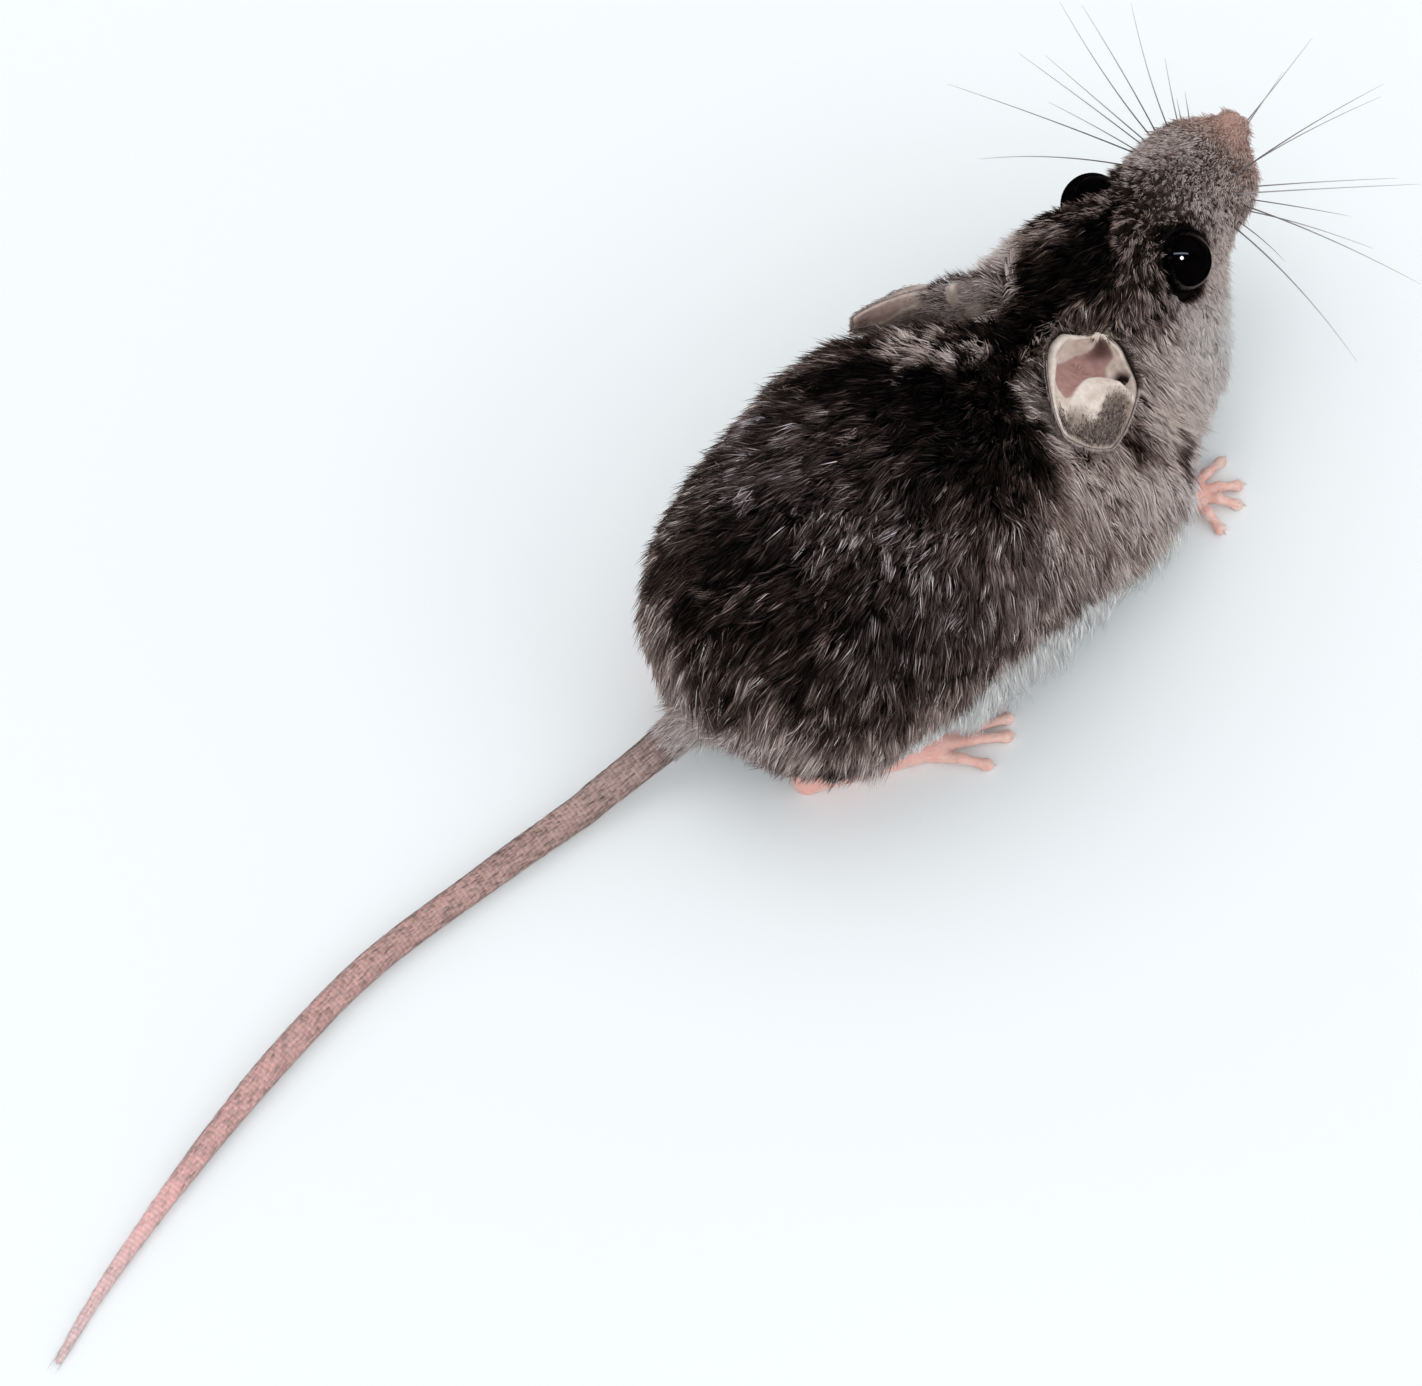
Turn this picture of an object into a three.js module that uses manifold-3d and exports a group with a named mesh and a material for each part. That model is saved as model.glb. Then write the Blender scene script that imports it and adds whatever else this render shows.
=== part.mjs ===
// A young white-footed mouse, life size, crouched on a floor with its tail laid out behind it.
// Millimetres, +Z up. The animal faces -Y and its own left side is +X.
// The solids are the true outline of the animal out to the tips of its coat, cut into the
// regions of the body. Ears, eyes, bare feet and tail are solids of their own.
import * as THREE from 'three';
import { mergeVertices } from 'three/addons/utils/BufferGeometryUtils.js';
import Module from 'manifold-3d';

const wasm = await Module();
wasm.setup();

// ---------------------------------------------------------------- driving sizes
const GAP = 0.3;               // clear gap between neighbouring regions
const BLEND = 4.5;             // how softly the masses of the trunk run together
const HEAD_BLEND = 2.6;        // the same on the head
const HEAD_AT = [-3.0, 53.4, 16.5];     // midpoint between the eyes: left, forward, up
const HEAD_TURN = 0.2, HEAD_PITCH = 14.0, HEAD_ROLL = -6.4;   // degrees
const EYE_RADIUS = 2.75;
const EYE_SIDE = 4.6, EYE_FWD = -0.1, EYE_UP = 0.9;            // in the head's own frame
const EAR_LENGTH = 14.2, EAR_HALF_WIDTH = 5.3, EAR_THICK = 0.55;
const TAIL_ROOT_RADIUS = 1.62, TAIL_TIP_RADIUS = 0.3;
const FLOOR_FLAT = 0.12;       // how deep the soft undersides are flattened where they bear

// Points below are written as (left, forward, up) on the animal.
const P = (l, f, u) => new THREE.Vector3(l, -f, u);
const rad = THREE.MathUtils.degToRad;

// the head's own frame: x = left, y = backward, z = up after turning, pitching and rolling
function headMatrix() {
  const h = rad(HEAD_TURN), p = rad(HEAD_PITCH), r = rad(HEAD_ROLL);
  const fwd = new THREE.Vector3(Math.sin(h) * Math.cos(p), -Math.cos(h) * Math.cos(p), Math.sin(p));
  const l0 = new THREE.Vector3(Math.cos(h), Math.sin(h), 0);
  const u0 = new THREE.Vector3().crossVectors(fwd, l0);
  const left = l0.clone().multiplyScalar(Math.cos(r)).addScaledVector(u0, Math.sin(r));
  const up = u0.clone().multiplyScalar(Math.cos(r)).addScaledVector(l0, -Math.sin(r));
  const m = new THREE.Matrix4().makeBasis(left, fwd.clone().negate(), up);
  return m.setPosition(P(...HEAD_AT));
}
const HEAD = headMatrix();
const inHead = (l, f, u) => P(l, f, u).applyMatrix4(HEAD);

// ---------------------------------------------------------------- masses of the body
// each mass is an ellipsoid { c, r, m } or a tapered rod { a, b, ra, rb }
function ell(c, r, turn = 0, pitch = 0) {
  const q = new THREE.Quaternion().setFromEuler(new THREE.Euler(rad(pitch), 0, rad(turn), 'ZYX'));
  return { kind: 'ell', c: P(...c), r: new THREE.Vector3(...r), q: q.invert() };
}
function headEll(c, r) {
  const q = new THREE.Quaternion().setFromRotationMatrix(HEAD);
  return { kind: 'ell', c: inHead(...c), r: new THREE.Vector3(...r), q: q.invert() };
}
const rod = (a, b, ra, rb) => ({ kind: 'rod', a: P(...a), b: P(...b), ra, rb });
const headRod = (a, b, ra, rb) => ({ kind: 'rod', a: inHead(...a), b: inHead(...b), ra, rb });

const TRUNK = [
  ell([-2.9, 10.5, 12.8], [13.6, 13.6, 12.4], -4),
  ell([-4.1, 20.5, 14.6], [15.5, 16.0, 13.9]),
  ell([-4.9, 33.5, 10.4], [14.0, 13.5, 10.4]),
  ell([-4.9, 27.5, 7.4], [15.0, 19.5, 6.7]),
];
const LIMBS = [
  ell([-10.6, 11.2, 8.0], [6.9, 10.8, 7.6], -14),       // right haunch
  ell([4.8, 11.2, 8.0], [6.9, 10.8, 7.6], 14),          // left haunch
  ell([-13.9, 36.5, 6.4], [6.0, 8.6, 5.8], -8),         // right upper arm and elbow
  ell([4.3, 36.5, 6.4], [6.0, 8.6, 5.8], 8),            // left upper arm and elbow
  rod([-14.2, 39.6, 4.6], [-16.0, 42.4, 2.1], 3.3, 1.5),  // right forearm
  rod([3.9, 39.6, 4.6], [5.6, 42.4, 2.1], 3.3, 1.5),      // left forearm
  rod([-1.3, 4.4, 6.8], [0.1, -1.4, 4.9], 3.9, 1.9),      // fur sheath of the tail root
];
const NECK = [
  ell([-3.9, 44.5, 9.4], [9.8, 9.0, 8.6]),
  ell([-3.7, 49.0, 7.6], [11.3, 9.5, 6.3]),              // throat ruff and jowls
];
const SKULL = [
  headEll([0, -5.6, 0.9], [7.3, 7.6, 6.6]),              // braincase
  headEll([0, 0.4, -0.6], [4.9, 7.8, 5.3]),              // brow and face
  headEll([0, -2.4, -4.6], [8.0, 8.6, 5.0]),             // cheeks and jaw
  headRod([0.2, 3.4, -2.1], [0.3, 7.8, -2.4], 5.2, 3.6), // muzzle
  headRod([0.2, 8.8, -2.0], [0.2, 12.5, -1.5], 2.8, 1.6),// nose
  headEll([2.9, 7.4, -3.3], [3.2, 4.3, 3.0]),            // left whisker pad
  headEll([-1.9, 7.6, -3.0], [2.9, 3.5, 2.6]),           // right whisker pad
];

// the ear's own z runs up the leaf, its y is where the hollow faces, its x is across
function earFrame(base, along, facing, mirror) {
  const z = new THREE.Vector3(along[0], -along[1], along[2]).normalize();
  const y = new THREE.Vector3(facing[0], -facing[1], facing[2]);
  y.addScaledVector(z, -y.dot(z)).normalize();
  const x = new THREE.Vector3().crossVectors(y, z);
  return new THREE.Matrix4().makeBasis(x, y, z).setPosition(base);
}
const EAR_RIGHT = earFrame(inHead(-3.3, -9.8, 4.1), [-0.6, -0.73, 0.33], [-0.06, 0.5, 0.86]);
const EAR_LEFT = earFrame(inHead(4.5, -10.9, 1.1), [0.728, -0.684, 0.047], [0.684, 0.721, -0.106]);

// the fur lies clear of each ear, which sits over a shallow pocket behind its root
function pocket(frame) {
  const q = new THREE.Quaternion().setFromRotationMatrix(frame);
  return { kind: 'ell', c: new THREE.Vector3(0, 0.9, 8.4).applyMatrix4(frame), r: new THREE.Vector3(5.5, 4.3, 7.5), q: q.invert() };
}
const POCKETS = [pocket(EAR_RIGHT), pocket(EAR_LEFT)];

const _v = new THREE.Vector3(), _w = new THREE.Vector3();
function mass(m, x, y, z) {
  if (m.kind === 'ell') {
    _v.set(x - m.c.x, y - m.c.y, z - m.c.z).applyQuaternion(m.q);
    const a = _v.x / m.r.x, b = _v.y / m.r.y, c = _v.z / m.r.z;
    const k0 = Math.sqrt(a * a + b * b + c * c);
    const k1 = Math.sqrt((a / m.r.x) ** 2 + (b / m.r.y) ** 2 + (c / m.r.z) ** 2);
    return k1 < 1e-9 ? -Math.min(m.r.x, m.r.y, m.r.z) : (k0 * (k0 - 1)) / k1;
  }
  _v.set(x, y, z).sub(m.a);
  _w.copy(m.b).sub(m.a);
  const t = Math.min(1, Math.max(0, _v.dot(_w) / _w.lengthSq()));
  return _v.addScaledVector(_w, -t).length() - (m.ra + (m.rb - m.ra) * t);
}
function soft(a, b, k) {
  const h = Math.max(k - Math.abs(a - b), 0) / k;
  return Math.min(a, b) - (h * h * k) / 4;
}
const softAll = (list, x, y, z, k) => list.reduce((d, m) => soft(d, mass(m, x, y, z), k), 1e3);
// the whole outline: trunk, limbs, neck and head run softly into each other
function body(x, y, z) {
  let d = softAll(TRUNK, x, y, z, BLEND);
  d = soft(d, softAll(LIMBS, x, y, z, 2.0), 3.2);
  d = soft(d, softAll(NECK, x, y, z, BLEND), 5.0);
  d = soft(d, softAll(SKULL, x, y, z, HEAD_BLEND), 4.0);
  for (const m of POCKETS) d = -soft(-d, mass(m, x, y, z), 1.6);
  return Math.max(d, BELLY_CLEAR - z);
}
const BELLY_CLEAR = 0.8;       // the belly fur stops this far above the floor

// ---------------------------------------------------------------- meshing the outline
// One vertex in each cell the surface crosses, drawn onto the surface, and one quad across
// each grid edge it crosses.
function skinOf(field, xs, ys, zs, iso = 0) {
  const nx = xs.length, ny = ys.length, nz = zs.length;
  const val = new Float64Array(nx * ny * nz);
  const at = (i, j, k) => (k * ny + j) * nx + i;
  for (let k = 0; k < nz; k++) for (let j = 0; j < ny; j++) for (let i = 0; i < nx; i++)
    val[at(i, j, k)] = field(xs[i], ys[j], zs[k]) - iso;
  // the outermost grid points count as outside, which closes an outline the grid cuts through
  for (let k = 0; k < nz; k++) for (let j = 0; j < ny; j++) for (let i = 0; i < nx; i++)
    if (!i || !j || !k || i === nx - 1 || j === ny - 1 || k === nz - 1) val[at(i, j, k)] = Math.max(val[at(i, j, k)], 0.4);
  const id = new Int32Array(nx * ny * nz).fill(-1);
  const pos = [];
  const corner = [[0, 0, 0], [1, 0, 0], [0, 1, 0], [1, 1, 0], [0, 0, 1], [1, 0, 1], [0, 1, 1], [1, 1, 1]];
  const edges = [];
  for (let a = 0; a < 8; a++) for (const bit of [1, 2, 4]) if (!(a & bit)) edges.push([a, a | bit]);
  for (let k = 0; k < nz - 1; k++) for (let j = 0; j < ny - 1; j++) for (let i = 0; i < nx - 1; i++) {
    let n = 0, sx = 0, sy = 0, sz = 0;
    for (const [a, b] of edges) {
      const A = corner[a], B = corner[b];
      const va = val[at(i + A[0], j + A[1], k + A[2])], vb = val[at(i + B[0], j + B[1], k + B[2])];
      if ((va < 0) === (vb < 0)) continue;
      const t = va / (va - vb);
      sx += xs[i + A[0]] + t * (xs[i + B[0]] - xs[i + A[0]]);
      sy += ys[j + A[1]] + t * (ys[j + B[1]] - ys[j + A[1]]);
      sz += zs[k + A[2]] + t * (zs[k + B[2]] - zs[k + A[2]]);
      n++;
    }
    if (!n) continue;
    let p = [sx / n, sy / n, sz / n];
    for (let it = 0; it < 2; it++) {
      const e = 0.05, f0 = field(...p) - iso;
      const g = [0, 1, 2].map((q) => {
        const u = [...p], w = [...p];
        u[q] += e; w[q] -= e;
        return (field(...u) - field(...w)) / (2 * e);
      });
      const gg = g[0] ** 2 + g[1] ** 2 + g[2] ** 2;
      if (gg < 0.05) break;
      if (Math.abs(f0) > 1.2) break;
      const s = Math.max(-0.5, Math.min(0.5, f0 / gg));
      p = p.map((c, q) => c - s * g[q]);
    }
    id[at(i, j, k)] = pos.length / 3;
    pos.push(...p);
  }
  const tri = [];
  const quad = (a, b, c, d, flip) => {
    if (Math.min(a, b, c, d) < 0) return;
    const len = (u, v) => (pos[3 * u] - pos[3 * v]) ** 2 + (pos[3 * u + 1] - pos[3 * v + 1]) ** 2 + (pos[3 * u + 2] - pos[3 * v + 2]) ** 2;
    const q = flip ? [a, d, c, b] : [a, b, c, d];
    if (len(q[0], q[2]) <= len(q[1], q[3])) tri.push(q[0], q[1], q[2], q[0], q[2], q[3]);
    else tri.push(q[0], q[1], q[3], q[1], q[2], q[3]);
  };
  for (let k = 0; k < nz - 1; k++) for (let j = 0; j < ny - 1; j++) for (let i = 0; i < nx - 1; i++) {
    const inside = val[at(i, j, k)] < 0;
    if (j && k && inside !== (val[at(i + 1, j, k)] < 0))
      quad(id[at(i, j - 1, k - 1)], id[at(i, j, k - 1)], id[at(i, j, k)], id[at(i, j - 1, k)], !inside);
    if (i && k && inside !== (val[at(i, j + 1, k)] < 0))
      quad(id[at(i - 1, j, k - 1)], id[at(i - 1, j, k)], id[at(i, j, k)], id[at(i, j, k - 1)], !inside);
    if (i && j && inside !== (val[at(i, j, k + 1)] < 0))
      quad(id[at(i - 1, j - 1, k)], id[at(i, j - 1, k)], id[at(i, j, k)], id[at(i - 1, j, k)], !inside);
  }
  const g = new THREE.BufferGeometry();
  g.setAttribute('position', new THREE.Float32BufferAttribute(pos, 3));
  g.setIndex(tri);
  return g;
}
// grid lines whose spacing changes from the trunk to the head
function lines(from, to, step) {
  const out = [from];
  while (out[out.length - 1] < to) out.push(out[out.length - 1] + (typeof step === 'function' ? step(out[out.length - 1]) : step));
  return out;
}

// ---------------------------------------------------------------- solids
function solid(geometry, shared = false) {
  const g = geometry.clone();
  for (const name of Object.keys(g.attributes)) if (name !== 'position') g.deleteAttribute(name);
  const m = shared ? g : mergeVertices(g, 1e-4);
  const make = (tris) => new wasm.Manifold(new wasm.Mesh({
    numProp: 3, vertProperties: new Float32Array(m.attributes.position.array), triVerts: new Uint32Array(tris),
  }));
  const tris = Array.from(m.index.array), s = make(tris);
  if (s.volume() > 0) return s;
  for (let q = 0; q < tris.length; q += 3) [tris[q], tris[q + 2]] = [tris[q + 2], tris[q]];   // faces point out
  return make(tris);
}
function geometryOf(s) {
  const m = s.getMesh();
  const g = new THREE.BufferGeometry();
  g.setAttribute('position', new THREE.BufferAttribute(new Float32Array(m.vertProperties), 3));
  g.setIndex(new THREE.BufferAttribute(new Uint32Array(m.triVerts), 1));
  g.computeVertexNormals();
  return g;
}
const largest = (s) => s.decompose().sort((a, b) => b.volume() - a.volume())[0];
function ball(c, r, turn = 0, seg = 12, rows = 8) {
  const g = new THREE.SphereGeometry(1, seg, rows);
  g.applyMatrix4(new THREE.Matrix4().makeScale(...r));
  g.applyMatrix4(new THREE.Matrix4().makeRotationZ(rad(turn)));
  g.translate(c.x, c.y, c.z);
  return solid(g);
}
// a slab of space in front of a plane through p whose normal is n
function ahead(p, n) {
  const g = new THREE.BoxGeometry(160, 160, 160);
  g.translate(0, 0, 80);
  g.applyQuaternion(new THREE.Quaternion().setFromUnitVectors(new THREE.Vector3(0, 0, 1), n.clone().normalize()));
  g.translate(p.x, p.y, p.z);
  return solid(g);
}
// tapered round-ended rod from a to b
function finger(a, b, ra, rb, seg = 5) {
  const len = a.distanceTo(b), pts = [];
  pts.push(new THREE.Vector2(0, -ra), new THREE.Vector2(ra * 0.87, -ra * 0.5), new THREE.Vector2(ra, 0));
  pts.push(new THREE.Vector2(rb, len), new THREE.Vector2(rb * 0.8, len + rb * 0.6), new THREE.Vector2(0, len + rb));
  const g = new THREE.LatheGeometry(pts, seg);
  g.applyQuaternion(new THREE.Quaternion().setFromUnitVectors(new THREE.Vector3(0, 1, 0), b.clone().sub(a).normalize()));
  g.translate(a.x, a.y, a.z);
  return solid(g);
}
const join = (list) => list.reduce((a, b) => a.add(b));
const floorSpace = ahead(new THREE.Vector3(0, 0, 0), new THREE.Vector3(0, 0, 1));

// ---------------------------------------------------------------- feet
// A foot is a flattened sole from heel to pad and a fan of toes; grow makes the clearance copy.
function foot({ heel, pad, heelR, padR, toes, toeR, ankle, ankleR }, grow = 0) {
  const parts = [finger(P(...heel), P(...pad), heelR + grow, padR + grow, 8)];
  if (ankle) parts.push(finger(P(...heel), P(...ankle), heelR + grow, ankleR + grow, 9));
  for (const t of toes) {
    const r = t.r || toeR;
    parts.push(finger(P(...t.from), P(...t.tip), r * 1.25 + grow, r * 0.85 + grow));
  }
  const f = join(parts);
  return grow ? f : f.intersect(floorSpace);
}
const TOE_R = 0.55;
const hindRight = {
  heel: [-9.4, 2.6, 1.35], pad: [-15.0, 11.6, 1.1], heelR: 1.25, padR: 1.45, toeR: TOE_R,
  toes: [
    { from: [-14.2, 12.3, 1.0], tip: [-15.2, 15.6, 0.5], r: 0.5 },
    { from: [-14.9, 12.6, 1.0], tip: [-16.9, 18.2, 0.42] },
    { from: [-15.3, 12.6, 1.0], tip: [-18.3, 17.9, 0.42] },
    { from: [-15.8, 12.2, 1.0], tip: [-19.3, 16.6, 0.42] },
    { from: [-16.0, 11.2, 0.9], tip: [-19.7, 13.5, 0.42], r: 0.5 },
  ],
};
const mirrorAcross = (spec, mid, shift = [0, 0]) => {
  const m = ([l, f, u]) => [2 * mid - l + shift[0], f + shift[1], u];
  return { ...spec, heel: m(spec.heel), pad: m(spec.pad), toes: spec.toes.map((t) => ({ ...t, from: m(t.from), tip: m(t.tip) })) };
};
const hindLeft = mirrorAcross(hindRight, -3.1);
const foreRight = {
  heel: [-15.7, 42.3, 1.7], pad: [-17.1, 44.6, 0.95], heelR: 1.15, padR: 1.25, toeR: 0.48,
  toes: [
    { from: [-16.8, 45.2, 0.8], tip: [-17.0, 48.8, 0.38] },
    { from: [-17.5, 45.2, 0.8], tip: [-19.5, 47.9, 0.38] },
    { from: [-17.8, 44.8, 0.8], tip: [-20.6, 46.4, 0.38] },
    { from: [-17.8, 44.2, 0.8], tip: [-20.9, 43.6, 0.38] },
  ],
};
const foreLeft = mirrorAcross(foreRight, -5.2);

// ---------------------------------------------------------------- tail
// The tail leaves the rump, comes down to the floor and lies along it in one open bend.
const TAIL_COURSE = [
  [-0.9, 3.0, 6.2], [0.3, -1.6, 4.8], [1.6, -5.6, 2.7], [3.2, -12.5, 1.42], [5.1, -21.6, 1.24],
  [7.1, -33.0, 1.1], [7.3, -43.5, 1.0], [6.5, -55.5, 0.8], [5.0, -67.0, 0.42], [3.6, -73.6, 0.2],
].map((p) => P(...p));
const tailCurve = new THREE.CatmullRomCurve3(TAIL_COURSE, false, 'centripetal');
function tailRadius(t) {     // t runs from 0 at the root to 1 at the tip
  const body = TAIL_ROOT_RADIUS - 0.42 * Math.min(1, t / 0.35) - 0.16 * Math.max(0, (t - 0.35) / 0.65);
  const taper = Math.max(0, (t - 0.62) / 0.38);
  return body + (TAIL_TIP_RADIUS - body) * taper ** 1.15;
}
function tailPiece(t0, t1, steps, sides = 12, grow = 0) {
  const pos = [], idx = [];
  for (let i = 0; i <= steps; i++) {
    const t = t0 + ((t1 - t0) * i) / steps, c = tailCurve.getPointAt(t), d = tailCurve.getTangentAt(t), r = tailRadius(t) + grow;
    const side = new THREE.Vector3().crossVectors(d, new THREE.Vector3(0, 0, 1)).normalize();
    const up = new THREE.Vector3().crossVectors(side, d);
    const lift = c.z < r + 0.3 && t > 0.12 ? r - FLOOR_FLAT - c.z : 0;   // lies on the floor
    for (let j = 0; j < sides; j++) {
      const a = ((j + 0.5) / sides) * 2 * Math.PI;
      const p = c.clone().addScaledVector(side, r * Math.cos(a)).addScaledVector(up, r * Math.sin(a));
      pos.push(p.x, p.y, p.z + lift);
    }
  }
  const a0 = pos.length / 3;
  for (const i of [0, steps]) {
    let x = 0, y = 0, z = 0;
    for (let j = 0; j < sides; j++) { x += pos[3 * (i * sides + j)]; y += pos[3 * (i * sides + j) + 1]; z += pos[3 * (i * sides + j) + 2]; }
    pos.push(x / sides, y / sides, z / sides);
  }
  for (let i = 0; i < steps; i++) for (let j = 0; j < sides; j++) {
    const a = i * sides + j, b = i * sides + ((j + 1) % sides), c = a + sides, d = b + sides;
    idx.push(a, b, d, a, d, c);
  }
  for (let j = 0; j < sides; j++) {
    const k = (j + 1) % sides, e = steps * sides;
    idx.push(a0, k, j, a0 + 1, e + j, e + k);
  }
  const g = new THREE.BufferGeometry();
  g.setAttribute('position', new THREE.Float32BufferAttribute(pos, 3));
  g.setIndex(idx);
  return solid(g);
}

// ---------------------------------------------------------------- ears
// A thin cupped leaf: nearly a tube at its root, opening to a shallow rounded spoon. The left
// ear is held with its front margin folded in, which narrows its span.
function earShell(place, span = [-1, 1], grow = 0) {
  const S = 9, V = 10, th = EAR_THICK + 2 * grow, pos = [], idx = [];
  const sheet = (s, v) => {
    const hw = EAR_HALF_WIDTH * Math.sin(Math.PI * (0.17 + 0.83 * s)) ** 0.62;
    const A = 0.75 + 1.2 * (1 - s) ** 1.4, R = hw / A;
    const bow = -1.3 * Math.exp(-(((s - 0.3) / 0.2) ** 2)) - 2.0 * s * s;   // hollow of the concha, tip curled back
    return new THREE.Vector3(R * Math.sin(v * A), R * (1 - Math.cos(v * A)) + bow, EAR_LENGTH * s);
  };
  const n = (s, v) => {
    const e = 0.01, a = sheet(s + e, v).sub(sheet(s - e, v)), b = sheet(s, v + e).sub(sheet(s, v - e));
    return a.cross(b).normalize();
  };
  for (const side of [-1, 1]) for (let i = 0; i <= S; i++) for (let j = 0; j <= V; j++) {
    const s = 0.02 + 0.955 * (i / S), v = span[0] + ((span[1] - span[0]) * j) / V;
    const p = sheet(s, v).addScaledVector(n(s, v), side * th / 2).applyMatrix4(place);
    pos.push(p.x, p.y, p.z);
  }
  const W = V + 1, N = (S + 1) * W;
  for (let i = 0; i < S; i++) for (let j = 0; j < V; j++) {
    const a = i * W + j, b = a + 1, c = a + W, d = c + 1;
    idx.push(a, b, d, a, d, c, N + a, N + d, N + b, N + a, N + c, N + d);
  }
  const edge = (a, b) => idx.push(a, N + b, b, a, N + a, N + b);
  for (let j = 0; j < V; j++) { edge(j, j + 1); edge(S * W + j + 1, S * W + j); }
  for (let i = 0; i < S; i++) { edge((i + 1) * W, i * W); edge(i * W + V, (i + 1) * W + V); }
  const g = new THREE.BufferGeometry();
  g.setAttribute('position', new THREE.Float32BufferAttribute(pos, 3));
  g.setIndex(idx);
  return solid(g);
}
// ---------------------------------------------------------------- assembling
const xs = lines(-26, 18, 2.5);
const ys = lines(-74, 8, (y) => (y < -38 ? 1.9 : 3.6));
const zs = lines(-1.5, 33, 2.4);
const outline = solid(skinOf(body, xs, ys, zs), true);
const outlineClear = solid(skinOf(body, lines(-20, 16, 1.9), lines(-66, -30, 1.9), lines(4, 33, 1.9), GAP + 0.25), true);

const eyes = {
  eye_right: ball(inHead(-EYE_SIDE, EYE_FWD, EYE_UP), [EYE_RADIUS, EYE_RADIUS, EYE_RADIUS], 0, 16, 9),
  eye_left: ball(inHead(EYE_SIDE, EYE_FWD, EYE_UP), [EYE_RADIUS, EYE_RADIUS, EYE_RADIUS], 0, 16, 9),
};
const R2 = EYE_RADIUS + GAP;
const eyeRoom = ball(inHead(-EYE_SIDE, EYE_FWD, EYE_UP), [R2, R2, R2], 0, 12, 7)
  .add(ball(inHead(EYE_SIDE, EYE_FWD, EYE_UP), [R2, R2, R2], 0, 12, 7));

const feet = {
  hindfoot_right: foot(hindRight), hindfoot_left: foot(hindLeft),
  forefoot_right: foot(foreRight), forefoot_left: foot(foreLeft),
};
const footRoom = join([hindRight, hindLeft, foreRight, foreLeft].map((f) => foot(f, GAP)));
const tailRoom = tailPiece(0, 0.13, 4, 8, GAP + 0.1);

const flesh = outline.subtract(footRoom).subtract(tailRoom).subtract(eyeRoom);

// legs are taken out of the flank as rounded masses
const LEGS = {
  hindleg_right: { c: P(-15.4, 12.0, 6.0), r: [8.6, 11.5, 9.6], turn: 10 },
  hindleg_left: { c: P(9.2, 12.0, 6.0), r: [8.6, 11.5, 9.6], turn: -10 },
  foreleg_right: { c: P(-17.2, 39.0, 4.6), r: [6.6, 8.4, 7.4], turn: 12 },
  foreleg_left: { c: P(7.4, 39.0, 4.6), r: [6.6, 8.4, 7.4], turn: -12 },
};
const legNodes = {}, legRooms = [];
for (const [name, { c, r, turn }] of Object.entries(LEGS)) {
  legNodes[name] = largest(flesh.intersect(ball(c, r, turn)));
  legRooms.push(ball(c, r.map((q) => q + GAP), turn));
}
const rest = flesh.subtract(join(legRooms));
const neckFrom = P(-4, 41.5, 12), neckAxis = new THREE.Vector3(0, -1, 0.12).normalize();
const headFrom = P(-3, 48.6, 12), headAxis = new THREE.Vector3(0, -1, 0.1).normalize();
const step = (p, n, d) => p.clone().addScaledVector(n, d);
const trunk = largest(rest.subtract(ahead(step(neckFrom, neckAxis, -GAP / 2), neckAxis)));
const neck = largest(rest.intersect(ahead(step(neckFrom, neckAxis, GAP / 2), neckAxis))
  .subtract(ahead(step(headFrom, headAxis, -GAP / 2), headAxis)));
const head = largest(rest.intersect(ahead(step(headFrom, headAxis, GAP / 2), headAxis)));
const ears = {
  ear_right: largest(earShell(EAR_RIGHT).subtract(outlineClear)),
  ear_left: largest(earShell(EAR_LEFT, [-1, 0.5]).subtract(outlineClear)),
};
const TAIL_CUTS = [0, 0.25, 0.5, 0.75, 1];
const tails = {};
const half = GAP / 2 / tailCurve.getLength();
for (let i = 0; i < 4; i++) {
  const a = TAIL_CUTS[i] + (i ? half : 0), b = TAIL_CUTS[i + 1] - (i < 3 ? half : 0);
  tails['tail_' + (i + 1)] = largest(tailPiece(a, b, 7).intersect(floorSpace));
}

// ---------------------------------------------------------------- the model
const mats = {
  fur: new THREE.MeshStandardMaterial({ color: '#4b4340', roughness: 0.85, metalness: 0 }),
  eye: new THREE.MeshStandardMaterial({ color: '#050506', roughness: 0.06, metalness: 0 }),
  ear: new THREE.MeshStandardMaterial({ color: '#8f7f76', roughness: 0.6, metalness: 0 }),
  foot: new THREE.MeshStandardMaterial({ color: '#e8a39a', roughness: 0.5, metalness: 0 }),
  tail: new THREE.MeshStandardMaterial({ color: '#9c827c', roughness: 0.6, metalness: 0 }),
};
const group = new THREE.Group();
function put(name, s, mat) {
  const m = new THREE.Mesh(geometryOf(s), mat);
  m.name = name;
  group.add(m);
}
put('head', head, mats.fur);
put('neck', neck, mats.fur);
put('trunk', trunk, mats.fur);
for (const [n, s] of Object.entries(legNodes)) put(n, s, mats.fur);
for (const [n, s] of Object.entries(feet)) put(n, s, mats.foot);
for (const [n, s] of Object.entries(tails)) put(n, s, mats.tail);
for (const [n, s] of Object.entries(ears)) put(n, s, mats.ear);
for (const [n, s] of Object.entries(eyes)) put(n, s, mats.eye);

// origin: under the middle of the whole animal, on the floor
const box = new THREE.Box3().setFromObject(group);
const mid = box.getCenter(new THREE.Vector3());
for (const m of group.children) m.geometry.translate(-mid.x, -mid.y, -box.min.z);

export default group;
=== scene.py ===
"""Looks of a grey mouse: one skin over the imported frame, a coat of mesh hair locks in the lie of the
fur, thin ears, wet black eyes, bare pink feet, a finely ringed tail and whiskers."""

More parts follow.
